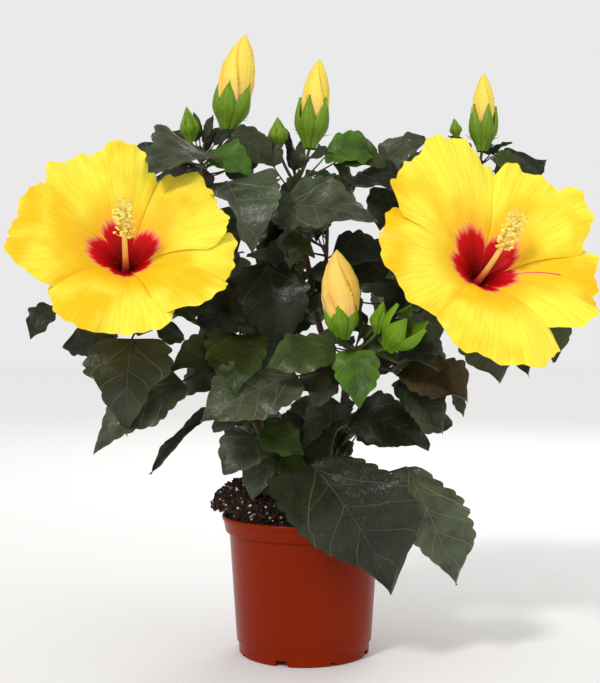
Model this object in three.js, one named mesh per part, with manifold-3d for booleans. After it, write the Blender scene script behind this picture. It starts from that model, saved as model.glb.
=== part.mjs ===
// A hibiscus shrub in a round nursery pot. Millimetres, +Z up, the front of the plant toward -Y,
// the origin at the middle of the pot's underside.
import * as THREE from 'three';
import { mergeVertices } from 'three/addons/utils/BufferGeometryUtils.js';
import Module from 'manifold-3d';

const wasm = await Module();
wasm.setup();

const gap = 0.3; // left between two pieces that touch
const apart = 0.8; // left between a leaf and whatever it grows past
const sliver = 0.02;
const up = new THREE.Vector3(0, 0, 1);

// ---------------------------------------------------------------- angles, solids and seeded numbers

// toward is the angle from +X round to +Y, climb the angle above the level.
function direction(toward, climb) {
  const level = Math.cos(THREE.MathUtils.degToRad(climb));
  return new THREE.Vector3(
    level * Math.cos(THREE.MathUtils.degToRad(toward)),
    level * Math.sin(THREE.MathUtils.degToRad(toward)),
    Math.sin(THREE.MathUtils.degToRad(climb)),
  );
}

// The Park-Miller rule: the same seed always grows the same plant.
function seeded(seed) {
  let state = seed;
  return (low, high) => {
    state = (state * 48271) % 2147483647;
    return low + ((high - low) * state) / 2147483647;
  };
}

function solid(geometry) {
  geometry.deleteAttribute('normal');
  geometry.deleteAttribute('uv');
  const merged = mergeVertices(geometry, 1e-5);
  return new wasm.Manifold(new wasm.Mesh({
    numProp: 3,
    vertProperties: merged.attributes.position.array,
    triVerts: Uint32Array.from(merged.index.array),
  }));
}

// Sends each vertex of a geometry to the place that a function gives for it.
function shaped(geometry, place) {
  const position = geometry.attributes.position;
  const vertex = new THREE.Vector3();
  for (let i = 0; i < position.count; i++) {
    const { x, y, z } = place(vertex.fromBufferAttribute(position, i));
    position.setXYZ(i, x, y, z);
  }
  return solid(geometry);
}

// Turns the diagonals of a run of a geometry's quads, so that both faces of a thin sheet fold alike and
// never cross.
function turnDiagonals(geometry, first, count) {
  const { array } = geometry.index;
  for (let at = 6 * first; at < 6 * (first + count); at += 6) {
    const [a, b, d, , c] = array.slice(at, at + 5);
    array.set([a, b, c, a, c, d], at);
  }
  return geometry;
}

// A profile of [radius, height] corners, turned round the upright axis.
function lathed(profile, segments) {
  const points = profile.map(([radius, height]) => new THREE.Vector2(radius, height));
  return new THREE.LatheGeometry(points, segments).rotateX(Math.PI / 2);
}

// The one solid that is left when everything fused has its loose scraps dropped, its hollows filled
// and its edges shorter than sliver closed up.
function fused(solids) {
  const bodies = wasm.Manifold.union(solids).decompose();
  return bodies.reduce((most, body) => (body.volume() > most.volume() ? body : most)).simplify(sliver);
}

// ---------------------------------------------------------------- materials

const finish = (color, roughness) => new THREE.MeshStandardMaterial({ color, roughness, metalness: 0 });
const terracottaPlastic = finish('#9b2c0c', 0.35);
const pottingSoil = finish('#2a1811', 0.95);
const youngBark = finish('#5a3a24', 0.8);
const leafGreen = finish('#343c28', 0.45);
const petalYellow = finish('#ffdc1c', 0.5);

// ---------------------------------------------------------------- limbs

// A limb's middle line is a straight chord that bows aside by the given amount at its middle.
function pointAlong(limb, t) {
  const bowed = 4 * t * (1 - t);
  return limb.from.clone()
    .addScaledVector(limb.aim, limb.length * t)
    .addScaledVector(limb.bow, bowed);
}

function limbRadius(limb, t) {
  const flare = limb.flare * Math.exp((-t * limb.length) / limb.flareHeight);
  return limb.thick[0] + (limb.thick[1] - limb.thick[0]) * t + flare;
}

function limb({ from, toward, climb, length, bow = [0, 0, 0], thick, sides = 6, steps = 4, flare = 0 }) {
  return {
    from, aim: direction(toward, climb), length, bow: new THREE.Vector3(...bow), thick, sides, steps,
    flare, flareHeight: 7,
  };
}

// The limb as a closed tube; fat makes it thicker and longer, to cut its neighbours clear of it.
function limbSolid(branch, fat = 0) {
  const side = new THREE.Vector3().crossVectors(branch.aim, Math.abs(branch.aim.z) > 0.9
    ? new THREE.Vector3(1, 0, 0) : up).normalize();
  const other = new THREE.Vector3().crossVectors(side, branch.aim);
  const tube = new THREE.CylinderGeometry(1, 1, 1, branch.sides, branch.steps);
  return shaped(tube, ({ x, y, z }) => {
    const t = y + 0.5;
    const radius = limbRadius(branch, t) + fat;
    return pointAlong(branch, t)
      .addScaledVector(side, x * radius)
      .addScaledVector(other, z * radius)
      .addScaledVector(branch.aim, 2 * y * fat);
  });
}

// ---------------------------------------------------------------- leaves

// A blade seen flat: widest below the middle, with a rounded foot and a drawn-out tip. The shares are
// of its length, and fold of its half width.
const bladeForm = { foot: 0.42, tip: 0.76, lobe: 0.07, arch: 0.09, fold: 0.16, wave: 0.025 };

function bladeWidth(v) {
  const widest = bladeForm.foot / (bladeForm.foot + bladeForm.tip);
  const shape = (at) => at ** bladeForm.foot * (1 - at) ** bladeForm.tip;
  return shape(v) / shape(widest);
}

// A blade runs from the end of its stalk to its tip. Its face turns to the light as far as it can.
function leaf(stem, row, light, nudge) {
  const root = pointAlong(stem, row.along);
  const stalkAim = direction(row.toward + nudge.swing, row.rise);
  const foot = root.clone().addScaledVector(stalkAim, row.stalk);
  const aim = direction(row.point + nudge.swing, -(row.hang + nudge.droop));
  const face = light.clone().addScaledVector(aim, -light.dot(aim)).normalize();
  const side = new THREE.Vector3().crossVectors(aim, face);
  return { root, foot, aim, face, side, row, stalkWidth: 0.9 + row.blade / 90 };
}

// A place on the blade: u runs across from margin to margin, v from foot to tip, w through it.
function bladePoint({ foot, aim, face, side, row }, u, v, w, spare) {
  const half = Math.max((row.blade * row.wide * bladeWidth(v)) / 2, 0.8) + spare;
  const across = Math.abs(u);
  const along = v - bladeForm.lobe * across * 12 * v * (1 - v) ** 6;
  const lift = bladeForm.arch * row.blade * 4 * v * (1 - v)
    + bladeForm.fold * half * across
    + bladeForm.wave * row.blade * across * Math.sin(9 * v + row.phase);
  return foot.clone()
    .addScaledVector(aim, row.blade * along + (v - 0.5) * 2 * spare)
    .addScaledVector(side, u * half)
    .addScaledVector(face, lift + w * (Math.max(1.1, row.blade / 70) + 2 * spare));
}

// A four-sided tube of some rows whose halves lie flat on each other, thick only along the middle.
function flatTube(rows) {
  const tube = new THREE.CylinderGeometry(1, 1, 1, 4, rows);
  return turnDiagonals(turnDiagonals(tube, rows, rows), 3 * rows, rows);
}

// A blade opens out of its stalk in one closed sheet, with the stalk's root sunk in the stem. Where it
// folds back over its stalk, the stalk is a solid of its own.
function leafSolids(grown) {
  const { root, foot, aim, face, row, stalkWidth } = grown;
  const cells = Math.min(4, Math.ceil(row.blade / 23));
  const stalkAim = foot.clone().sub(root).normalize();
  const stalkSide = new THREE.Vector3().crossVectors(stalkAim, face).normalize();
  const stalkFace = new THREE.Vector3().crossVectors(stalkSide, stalkAim);
  const stalkCells = stalkAim.dot(aim) > 0.25 ? 1 : 0;
  const rows = cells + stalkCells;
  const sheet = shaped(flatTube(rows), ({ x, y, z }) => {
    const step = Math.round((y + 0.5) * rows) - stalkCells;
    if (step >= 0) return bladePoint(grown, x, (step / cells) ** 1.1, z / 2, 0);
    return root.clone()
      .addScaledVector(stalkSide, x * 0.6 * stalkWidth)
      .addScaledVector(stalkFace, z * 0.6 * stalkWidth);
  });
  if (stalkCells) return [sheet];
  return [sheet, limbSolid({ ...stalkLimb(grown, 0.1), sides: 3 })];
}

// The room that a blade and its stalk take up, for others to keep out of.
function bladeRoom(grown, spare) {
  return shaped(new THREE.BoxGeometry(2, 1, 1, 2, 4, 1), ({ x, y, z }) => (
    bladePoint(grown, x, (y + 0.5) ** 1.2, z, spare)));
}

function stalkLimb({ root, foot, stalkWidth }, spare) {
  const reach = foot.clone().sub(root);
  return {
    from: root, aim: reach.clone().normalize(), length: reach.length() + spare, bow: new THREE.Vector3(),
    thick: [stalkWidth / 2 + spare, stalkWidth / 2 + spare], flare: 0, flareHeight: 1, sides: 4, steps: 1,
  };
}

// ---------------------------------------------------------------- buds

// A closed bud standing in its calyx: heights and radii are shares of its length and width.
function budSolid(from, { toward, climb, length, width, calyx }) {
  const aim = direction(toward, climb);
  const turn = new THREE.Quaternion().setFromUnitVectors(up, aim);
  const r = width / 2;
  const calyxRadius = calyx.width / 2;
  const open = length - calyx.length;
  const profile = [
    [0, 0], [1.6, 0], [calyxRadius * 0.75, calyx.length * 0.2], [calyxRadius, calyx.length * 0.55],
    [calyxRadius * 0.9, calyx.length], [r, calyx.length + open * 0.25],
    [r * 0.75, calyx.length + open * 0.62], [0, length],
  ];
  const lathe = lathed(profile, length > 40 ? 8 : 6);
  return shaped(lathe, (vertex) => vertex.clone().applyQuaternion(turn).add(from));
}

// ---------------------------------------------------------------- blooms

// Petals are fans round the flower's axis. A petal leans away from the axis by open at its foot and
// by its own curl at its rim, and one side of each lies over its neighbour.
const petalForm = { throat: 4, open: 34, half: 41, round: 0.15, lap: 2.4, ruffle: 3.2, thick: 1.1 };
const columnForm = { length: 68, thick: [2.4, 1.5], brush: 6, brushLength: 26, stigma: 3.2 };
const calyxForm = { length: 17, foot: 2.2, mouth: 7.5 };

function flowerFrame({ from, toward, climb }) {
  const axis = direction(toward, climb);
  const right = new THREE.Vector3().crossVectors(up, axis).normalize();
  const top = new THREE.Vector3().crossVectors(axis, right);
  const throat = from.clone().addScaledVector(axis, calyxForm.length);
  return { axis, right, top, throat };
}

function petalSolid(frame, { turn, length, curl, phase }) {
  const open = THREE.MathUtils.degToRad(petalForm.open);
  const swing = THREE.MathUtils.degToRad(curl) - open;
  const half = THREE.MathUtils.degToRad(petalForm.half);
  const grid = new THREE.BoxGeometry(2, 1, 1, 4, 4, 1);
  const back = grid.groups[5];
  return shaped(turnDiagonals(grid, back.start / 6, back.count / 6), ({ x, y, z }) => {
    const t = y + 0.5;
    const reach = length * (1 - petalForm.round * x * x);
    const lean = open + swing * t;
    const radius = petalForm.throat + (reach * (Math.cos(open) - Math.cos(lean))) / swing;
    const height = (reach * (Math.sin(lean) - Math.sin(open))) / swing;
    const ruffle = petalForm.lap * x * t + petalForm.ruffle * t ** 3 * Math.sin(phase + 5 * x);
    const around = THREE.MathUtils.degToRad(turn) + x * half;
    const outward = frame.top.clone().multiplyScalar(Math.cos(around))
      .addScaledVector(frame.right, Math.sin(around));
    const off = ruffle + z * petalForm.thick;
    return frame.throat.clone()
      .addScaledVector(frame.axis, height + off * Math.sin(lean))
      .addScaledVector(outward, radius - off * Math.cos(lean));
  });
}

function bloomSolid({ stalk, flower, petals, column, seed }) {
  const between = seeded(seed);
  const frame = flowerFrame(flower);
  const turn = new THREE.Quaternion().setFromUnitVectors(up, frame.axis);
  const { length, foot, mouth } = calyxForm;
  const cup = lathed([
    [0, -1], [foot, -1], [mouth * 0.75, length * 0.45], [mouth, length], [petalForm.throat + 1, length + 4],
    [0, length + 4],
  ], 8);
  const calyx = shaped(cup, (v) => v.clone().applyQuaternion(turn).add(flower.from));
  const pistil = limb({
    from: frame.throat.clone(), toward: column.toward, climb: column.climb, length: columnForm.length,
    bow: column.bow, thick: columnForm.thick, sides: 6, steps: 4,
  });
  const brushMiddle = pointAlong(pistil, 0.78);
  const tilt = new THREE.Quaternion().setFromUnitVectors(up, pistil.aim);
  const brush = shaped(new THREE.SphereGeometry(1, 8, 5).rotateX(Math.PI / 2), (v) => v.clone()
    .multiply(new THREE.Vector3(columnForm.brush, columnForm.brush, columnForm.brushLength / 2))
    .applyQuaternion(tilt).add(brushMiddle));
  const stigma = shaped(new THREE.IcosahedronGeometry(columnForm.stigma, 0), (v) => v.clone()
    .add(pointAlong(pistil, 1)));
  const fans = petals.map((petal) => petalSolid(frame, { ...petal, phase: between(0, 6.28) }));
  return fused([limbSolid(stalk), calyx, limbSolid(pistil), brush, stigma, ...fans]);
}

// ---------------------------------------------------------------- pot and soil

const pot = { rim: 65, height: 109, foot: 51.5, step: 9, floor: 6, segments: 28 };
const soilForm = {
  level: 103, ground: 112, clods: 13, clod: [5, 9], heap: { x: -34, y: 4, radius: 34, top: 131 },
};
const trunkFoot = { x: 29, y: 6 };

function potSolid() {
  const { rim, height, foot, step, floor } = pot;
  const shell = solid(lathed([
    [0, 0], [17, 0], [19, 3.5], [41, 3.5], [43, 0], [foot - 1, 0], [foot, 1.2], [foot + 0.4, step],
    [foot + 1.8, step + 1.5], [rim - 5.8, height - 13.4], [rim - 4.6, height - 13],
    [rim - 2.6, height - 11.4], [rim - 1.2, height - 3.8], [rim, height - 3], [rim, height - 0.8],
    [rim - 0.8, height], [rim - 2, height], [rim - 2.8, height - 1.2], [rim - 4.4, height - 11.2],
    [rim - 7.4, height - 14], [foot, step + 3], [foot - 3, floor], [0, floor],
  ], pot.segments));
  // Drain notches through the standing ring, wide and narrow ones in turn.
  const notches = [];
  for (let quarter = 0; quarter < 4; quarter++) {
    for (const [turn, width, deep] of [[-110, 11, 4.6], [-65, 4, 2.8]]) {
      const slot = new THREE.BoxGeometry(16, 1, deep * 2);
      const wedge = shaped(slot, ({ x, y, z }) => (
        new THREE.Vector3(x + foot - 4, y * width * (z > 0 ? 0.7 : 1.3), z)));
      notches.push(wedge.rotate([0, 0, turn + 90 * quarter]));
    }
  }
  return shell.subtract(wasm.Manifold.union(notches));
}

// The root ball fills the pot, with a heap of clods at the back left and a flat place under the trunk.
function soilSolid(between) {
  const { rim, height, foot, step, floor } = pot;
  const { level, ground, clods, clod, heap } = soilForm;
  const ball = solid(lathed([
    [0, floor + gap], [foot - 3 - gap, floor + gap], [foot - gap, step + 3], [rim - 7.4 - gap, height - 14],
    [rim - 5.4, level], [rim - 24, level + 2], [0, level + 3],
  ], pot.segments));
  const mound = new THREE.CylinderGeometry(12, 22, 16, 10, 1).rotateX(Math.PI / 2);
  const dome = shaped(new THREE.IcosahedronGeometry(1, 1), ({ x, y, z }) => new THREE.Vector3(
    heap.x + x * heap.radius, heap.y + y * heap.radius, level + z * (z > 0 ? heap.top - level : 5)));
  const pieces = [ball, solid(mound.translate(trunkFoot.x, trunkFoot.y, ground - gap - 8)), dome];
  for (let i = 0; i < clods; i++) {
    const away = Math.sqrt((i + 0.5) / clods);
    const turn = THREE.MathUtils.degToRad(137.5 * i);
    const lump = new THREE.IcosahedronGeometry(between(...clod), 0);
    lump.rotateZ(between(0, 6)).rotateX(between(0, 6)).translate(
      heap.x + heap.radius * away * Math.cos(turn),
      heap.y + heap.radius * away * Math.sin(turn),
      level + (heap.top - level) * Math.sqrt(1 - 0.8 * away * away),
    );
    pieces.push(solid(lump));
  }
  const trunkRoom = new THREE.CylinderGeometry(11.5, 11.5, 40, 12, 1).rotateX(Math.PI / 2);
  const rimRoom = solid(lathed([
    [rim - 7.4 - gap, height - 40], [rim + 20, height - 40], [rim + 20, height + gap],
    [rim - 2.4, height + gap], [rim - 2.8 - gap, height - 1], [rim - 4.4 - gap, height - 11],
    [rim - 7.4 - gap, height - 14], [rim - 7.4 - gap, height - 40],
  ], pot.segments));
  return fused([wasm.Manifold.union(pieces)
    .subtract(solid(trunkRoom.translate(trunkFoot.x, trunkFoot.y, ground - gap + 20)))
    .subtract(rimRoom)]);
}

// ---------------------------------------------------------------- the plant's sizes

// Each limb starts on the one it grows from, at a share of that one's length.
const limbRows = {
  left_low_bough: {
    on: 'main_stem', at: 0.12, toward: -174, climb: 38, length: 76,
    thick: [3.4, 2.9], bow: [0, -3, -5],
  },
  left_bough: {
    on: 'left_low_bough', at: 1, toward: -176, climb: 69, length: 90,
    thick: [2.8, 2.4], bow: [-5, 0, 2],
  },
  left_top_bough: {
    on: 'left_bough', at: 1, toward: 163, climb: 81, length: 109,
    thick: [2.4, 1.9], bow: [-4, 3, 0],
  },
  left_side_bough: {
    on: 'left_bough', at: 1, toward: -157, climb: 26, length: 50,
    thick: [2.2, 1.8], bow: [0, 0, -2],
  },
  middle_low_bough: {
    on: 'main_stem', at: 1, toward: 172, climb: 70, length: 80,
    thick: [2.8, 2.5], bow: [-3, 0, -2],
  },
  middle_bough: {
    on: 'middle_low_bough', at: 1, toward: 164, climb: 77, length: 63,
    thick: [2.4, 1.9], bow: [2, 2, 0],
  },
  right_bough: {
    on: 'main_stem', at: 1, toward: -18, climb: 31, length: 45,
    thick: [2.6, 2.3], bow: [0, 0, -3],
  },
  right_upper_bough: {
    on: 'right_bough', at: 1, toward: -8, climb: 59, length: 55,
    thick: [2.3, 1.9], bow: [3, 0, -2],
  },
  right_top_bough: {
    on: 'main_stem', at: 1, toward: 16, climb: 62, length: 166,
    thick: [2.9, 2], bow: [3, 4, -4],
  },
  front_bough: {
    on: 'main_stem', at: 1, toward: -86, climb: 25, length: 46,
    thick: [2.1, 1.8], bow: [0, 0, -3],
  },
  back_bough: {
    on: 'middle_low_bough', at: 1, toward: 78, climb: 20, length: 62,
    thick: [2.3, 1.8], bow: [0, 0, -4],
  },
  back_left_bough: {
    on: 'left_bough', at: 1, toward: 98, climb: 26, length: 66,
    thick: [2.2, 1.8], bow: [0, 0, -4],
  },
  back_right_bough: {
    on: 'main_stem', at: 1, toward: 62, climb: 38, length: 86,
    thick: [2.6, 1.9], bow: [0, 0, -5],
  },
};

const frontLight = direction(-90, 37);

// Leaves that show from the front are placed one by one: along the stem, which way the stalk goes and
// rises, its length, then which way the blade points, how far it hangs, its length and its width share.
const massRows = [
  {
    name: 'left_top_leaves', on: 'left_top_bough', at: 1, stem: { toward: -110, climb: 80, length: 31 },
    more: 6, size: [34, 52], reach: 72,
    shows: [
      { along: 0.9, toward: -85, rise: 10, stalk: 31, point: -125, hang: 15, blade: 67, wide: 0.85 },
      { along: 1, toward: 160, rise: 30, stalk: 19, point: 155, hang: -25, blade: 26, wide: 0.8 },
      { along: 0.8, toward: -65, rise: 20, stalk: 27, point: -35, hang: 30, blade: 42, wide: 0.7 },
      { along: 0.4, toward: -70, rise: -5, stalk: 46, point: -50, hang: 45, blade: 70, wide: 0.95 },
      { along: 0.6, toward: 30, rise: 15, stalk: 28, point: 25, hang: -30, blade: 40, wide: 0.75 },
    ],
    buds: [
      {
        along: 0.8, toward: 8, rise: 45, stalk: 39,
        lean: [13, 84], length: 79, width: 28, calyx: [29, 36],
      },
      {
        along: 0.9, toward: -156, rise: 61, stalk: 18,
        lean: [-125, 79], length: 25, width: 9, calyx: [14, 20],
      },
    ],
  },
  {
    name: 'middle_leaves', on: 'middle_bough', at: 1, stem: { toward: -80, climb: 80, length: 30 },
    more: 6, size: [34, 56], reach: 75,
    shows: [
      { along: 0.5, toward: -110, rise: -15, stalk: 42, point: -25, hang: 10, blade: 84, wide: 0.62 },
      { along: 0.9, toward: -20, rise: 40, stalk: 31, point: -5, hang: 0, blade: 41, wide: 0.65 },
      { along: 0.7, toward: 5, rise: 0, stalk: 47, point: -135, hang: -35, blade: 35, wide: 0.75 },
      { along: 0.9, toward: -70, rise: 30, stalk: 29, point: -55, hang: -10, blade: 31, wide: 0.6 },
      { along: 0.6, toward: -135, rise: 35, stalk: 35, point: 115, hang: -65, blade: 27, wide: 0.7 },
    ],
    buds: [
      {
        along: 1, toward: -30, rise: 63, stalk: 27,
        lean: [37, 82], length: 73, width: 22, calyx: [26, 36],
      },
      {
        along: 0.9, toward: -155, rise: 60, stalk: 32,
        lean: [-89, 85], length: 22, width: 9, calyx: [15, 18],
      },
    ],
  },
  {
    name: 'right_top_leaves', on: 'right_top_bough', at: 1, stem: { toward: -5, climb: 45, length: 52 },
    more: 7, size: [34, 54], reach: 72,
    shows: [
      { along: 0.2, toward: -180, rise: 30, stalk: 55, point: -15, hang: -25, blade: 40, wide: 0.6 },
      { along: 0.1, toward: -150, rise: 20, stalk: 42, point: -155, hang: 10, blade: 47, wide: 0.55 },
      { along: 0.35, toward: -145, rise: 15, stalk: 40, point: -125, hang: 50, blade: 49, wide: 0.8 },
      { along: 0.9, toward: 15, rise: 45, stalk: 15, point: -25, hang: -25, blade: 19, wide: 0.4 },
      { along: 0.7, toward: 20, rise: -15, stalk: 32, point: 15, hang: -30, blade: 46, wide: 0.7 },
    ],
    buds: [
      {
        along: 0.9, toward: -47, rise: 62, stalk: 12,
        lean: [61, 86], length: 64, width: 18, calyx: [22, 33],
      },
      {
        along: 0.9, toward: -173, rise: 52, stalk: 29,
        lean: [180, 80], length: 14, width: 6, calyx: [9, 11],
      },
    ],
  },
  {
    name: 'right_side_leaves', on: 'right_upper_bough', at: 1, stem: { toward: 0, climb: 30, length: 58 },
    more: 7, size: [40, 62], reach: 80,
    shows: [
      { along: 0.4, toward: -170, rise: -5, stalk: 43, point: 170, hang: -35, blade: 62, wide: 0.8 },
      { along: 0.4, toward: -170, rise: -30, stalk: 42, point: -25, hang: 60, blade: 46, wide: 0.85 },
      { along: 0.5, toward: -65, rise: -55, stalk: 30, point: -45, hang: 60, blade: 55, wide: 0.95 },
      { along: 0.8, toward: -20, rise: -65, stalk: 53, point: -50, hang: 60, blade: 47, wide: 0.45 },
      { along: 0.9, toward: -10, rise: -30, stalk: 53, point: -50, hang: 75, blade: 50, wide: 0.7 },
      { along: 1, toward: 5, rise: 30, stalk: 54, point: -20, hang: -20, blade: 31, wide: 0.6 },
    ],
  },
  {
    name: 'right_low_leaves', on: 'right_bough', at: 0.8, stem: { toward: -65, climb: -5, length: 26 },
    more: 4, size: [40, 60], reach: 80,
    shows: [
      { along: 0.9, toward: -75, rise: 15, stalk: 14, point: -30, hang: 25, blade: 56, wide: 0.7 },
      { along: 0.5, toward: -60, rise: -20, stalk: 15, point: -35, hang: 45, blade: 54, wide: 0.68 },
    ],
  },
  {
    name: 'front_leaves', on: 'front_bough', at: 1, stem: { toward: -90, climb: 35, length: 24 },
    more: 2, size: [30, 45], reach: 70,
    shows: [
      { along: 0.9, toward: -90, rise: 0, stalk: 22, point: -85, hang: 65, blade: 44, wide: 0.95 },
      { along: 0.7, toward: -120, rise: 10, stalk: 24, point: -160, hang: 15, blade: 53, wide: 0.62 },
      { along: 0.4, toward: -160, rise: -15, stalk: 46, point: -165, hang: 25, blade: 80, wide: 0.62 },
    ],
    buds: [
      {
        along: 0.85, toward: -113, rise: 25, stalk: 21,
        lean: [-161, 85], length: 66, width: 28, calyx: [24, 25],
      },
      {
        along: 1, toward: -31, rise: 2, stalk: 28,
        lean: [-36, 34], length: 29, width: 14, calyx: [22, 25],
      },
      {
        along: 1, toward: -37, rise: 30, stalk: 24,
        lean: [-56, 71], length: 22, width: 9, calyx: [13, 17],
      },
    ],
  },
  {
    name: 'left_side_leaves', on: 'left_side_bough', at: 1, stem: { toward: -170, climb: 5, length: 32 },
    more: 5, size: [36, 55], reach: 75,
    shows: [
      { along: 0.6, toward: -100, rise: -40, stalk: 42, point: -95, hang: 70, blade: 71, wide: 0.95 },
      { along: 0.8, toward: -150, rise: -55, stalk: 33, point: 165, hang: 10, blade: 37, wide: 0.75 },
      { along: 1, toward: -175, rise: -10, stalk: 51, point: -140, hang: 50, blade: 33, wide: 0.7 },
      { along: 0.4, toward: -30, rise: -80, stalk: 26, point: 5, hang: -20, blade: 40, wide: 1 },
    ],
  },
  {
    name: 'centre_leaves', on: 'middle_low_bough', at: 0.85, stem: { toward: -125, climb: 40, length: 40 },
    more: 10, size: [45, 66], reach: 80,
    shows: [
      { along: 0.8, toward: -155, rise: 30, stalk: 30, point: -65, hang: 65, blade: 72, wide: 0.75 },
      { along: 1, toward: -150, rise: 75, stalk: 30, point: -20, hang: 25, blade: 28, wide: 0.7 },
      { along: 0.9, toward: 175, rise: 55, stalk: 46, point: 165, hang: 55, blade: 33, wide: 0.7 },
      { along: 0.4, toward: 20, rise: 50, stalk: 30, point: -40, hang: 65, blade: 44, wide: 0.75 },
    ],
  },
  {
    name: 'left_centre_leaves', on: 'left_bough', at: 0.82, stem: { toward: -55, climb: 25, length: 32 },
    more: 7, size: [40, 62], reach: 80,
    shows: [
      { along: 0.6, toward: 60, rise: 85, stalk: 44, point: -175, hang: 60, blade: 54, wide: 0.85 },
      { along: 0.8, toward: -85, rise: -20, stalk: 22, point: -160, hang: 15, blade: 64, wide: 0.62 },
      { along: 1, toward: -10, rise: 50, stalk: 17, point: -65, hang: 70, blade: 43, wide: 0.65 },
      { along: 0.5, toward: -145, rise: -30, stalk: 57, point: -160, hang: 35, blade: 86, wide: 0.5 },
      { along: 0.6, toward: -35, rise: -55, stalk: 53, point: -170, hang: 20, blade: 50, wide: 0.7 },
    ],
  },
  {
    name: 'foot_left_leaves', on: 'left_low_bough', at: 0.85, stem: { toward: -100, climb: 15, length: 24 },
    more: 4, size: [36, 55], reach: 75,
    shows: [
      { along: 0.6, toward: -125, rise: 30, stalk: 24, point: -145, hang: 45, blade: 41, wide: 0.95 },
      { along: 0.8, toward: -115, rise: 40, stalk: 24, point: -25, hang: 25, blade: 40, wide: 0.7 },
      { along: 0.5, toward: -90, rise: 0, stalk: 23, point: -140, hang: 40, blade: 52, wide: 0.72 },
      { along: 0.9, toward: -145, rise: 35, stalk: 61, point: -165, hang: 45, blade: 69, wide: 0.28 },
      { along: 1, toward: 20, rise: 45, stalk: 34, point: -165, hang: 50, blade: 24, wide: 0.85 },
    ],
  },
  {
    name: 'foot_front_leaves', on: 'main_stem', at: 0.2, stem: { toward: -105, climb: 45, length: 39 },
    more: 4, size: [40, 60], reach: 80,
    shows: [
      { along: 0.6, toward: -110, rise: 10, stalk: 55, point: -30, hang: 50, blade: 109, wide: 0.92 },
      { along: 0.4, toward: -40, rise: 10, stalk: 68, point: -35, hang: 65, blade: 94, wide: 0.66 },
      { along: 0.95, toward: -45, rise: 60, stalk: 41, point: -25, hang: 20, blade: 67, wide: 0.65 },
      { along: 0.8, toward: -20, rise: 50, stalk: 31, point: -15, hang: 20, blade: 29, wide: 0.6 },
      { along: 1, toward: -70, rise: 85, stalk: 46, point: -160, hang: 55, blade: 44, wide: 0.5 },
    ],
  },
  {
    name: 'foot_back_leaves', on: 'main_stem', at: 0.45, stem: { toward: 80, climb: 35, length: 44 },
    more: 8, size: [45, 72], reach: 95, light: [80, 45], shows: [],
  },
  {
    name: 'low_back_leaves', on: 'left_low_bough', at: 0.7, stem: { toward: 118, climb: 30, length: 40 },
    more: 7, size: [42, 68], reach: 90, light: [110, 45], shows: [],
  },
  {
    name: 'back_left_leaves', on: 'back_left_bough', at: 1, stem: { toward: 110, climb: 50, length: 40 },
    more: 14, size: [40, 70], reach: 105, light: [100, 45], shows: [],
  },
  {
    name: 'back_middle_leaves', on: 'back_bough', at: 1, stem: { toward: 85, climb: 60, length: 44 },
    more: 16, size: [40, 72], reach: 105, light: [85, 45], shows: [],
  },
  {
    name: 'back_right_leaves', on: 'back_right_bough', at: 1, stem: { toward: 60, climb: 50, length: 42 },
    more: 14, size: [40, 70], reach: 105, light: [60, 45], shows: [],
  },
];

const bloomRows = [
  {
    name: 'left_bloom', on: 'left_side_bough', at: 0.9, stalk: { toward: -124, climb: 16, length: 52 },
    flower: { toward: -82, climb: 37 }, column: { toward: -84, climb: 44, bow: [0, 0, -2] }, seed: 11,
    petals: [
      { turn: 188, length: 84, curl: 105 },
      { turn: 118, length: 94, curl: 95 },
      { turn: 60, length: 86, curl: 88 },
      { turn: 344, length: 92, curl: 85 },
      { turn: 270, length: 90, curl: 92 },
    ],
  },
  {
    name: 'right_bloom', on: 'right_upper_bough', at: 0.9, stalk: { toward: -66, climb: 2, length: 59 },
    flower: { toward: -72, climb: 34 }, column: { toward: -57, climb: 50, bow: [0, 0, -3] }, seed: 23,
    petals: [
      { turn: 334, length: 106, curl: 85 },
      { turn: 50, length: 102, curl: 86 },
      { turn: 116, length: 88, curl: 98 },
      { turn: 188, length: 98, curl: 105 },
      { turn: 264, length: 98, curl: 95 },
    ],
  },
];

// ---------------------------------------------------------------- growing

const between = seeded(2026);
const plant = new THREE.Group();
const taken = []; // everything that is grown, for a new leaf to keep clear of

function boxOf(shape) {
  const { min, max } = shape.boundingBox();
  return new THREE.Box3(new THREE.Vector3(...min), new THREE.Vector3(...max));
}

function claim(shape, mass, kind) {
  taken.push({ shape, mass, kind, box: boxOf(shape) });
  return shape;
}

function meets(shape, others) {
  const box = boxOf(shape);
  return others.some((other) => box.intersectsBox(other.box) && !shape.intersect(other.shape).isEmpty());
}

function add(name, shape, material) {
  const { vertProperties, triVerts } = shape.getMesh();
  const geometry = new THREE.BufferGeometry();
  geometry.setAttribute('position', new THREE.BufferAttribute(vertProperties, 3));
  geometry.setIndex(new THREE.BufferAttribute(triVerts, 1));
  geometry.computeVertexNormals();
  const mesh = new THREE.Mesh(geometry, material);
  mesh.name = name;
  plant.add(mesh);
}

const soil = soilSolid(between);
add('pot', potSolid(), terracottaPlastic);
add('soil', claim(soil, 'soil', 'wood'), pottingSoil);
claim(solid(lathed([[0, 0], [pot.rim, 0], [pot.rim, pot.height], [0, pot.height]], 24)), 'pot', 'wood');

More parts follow.
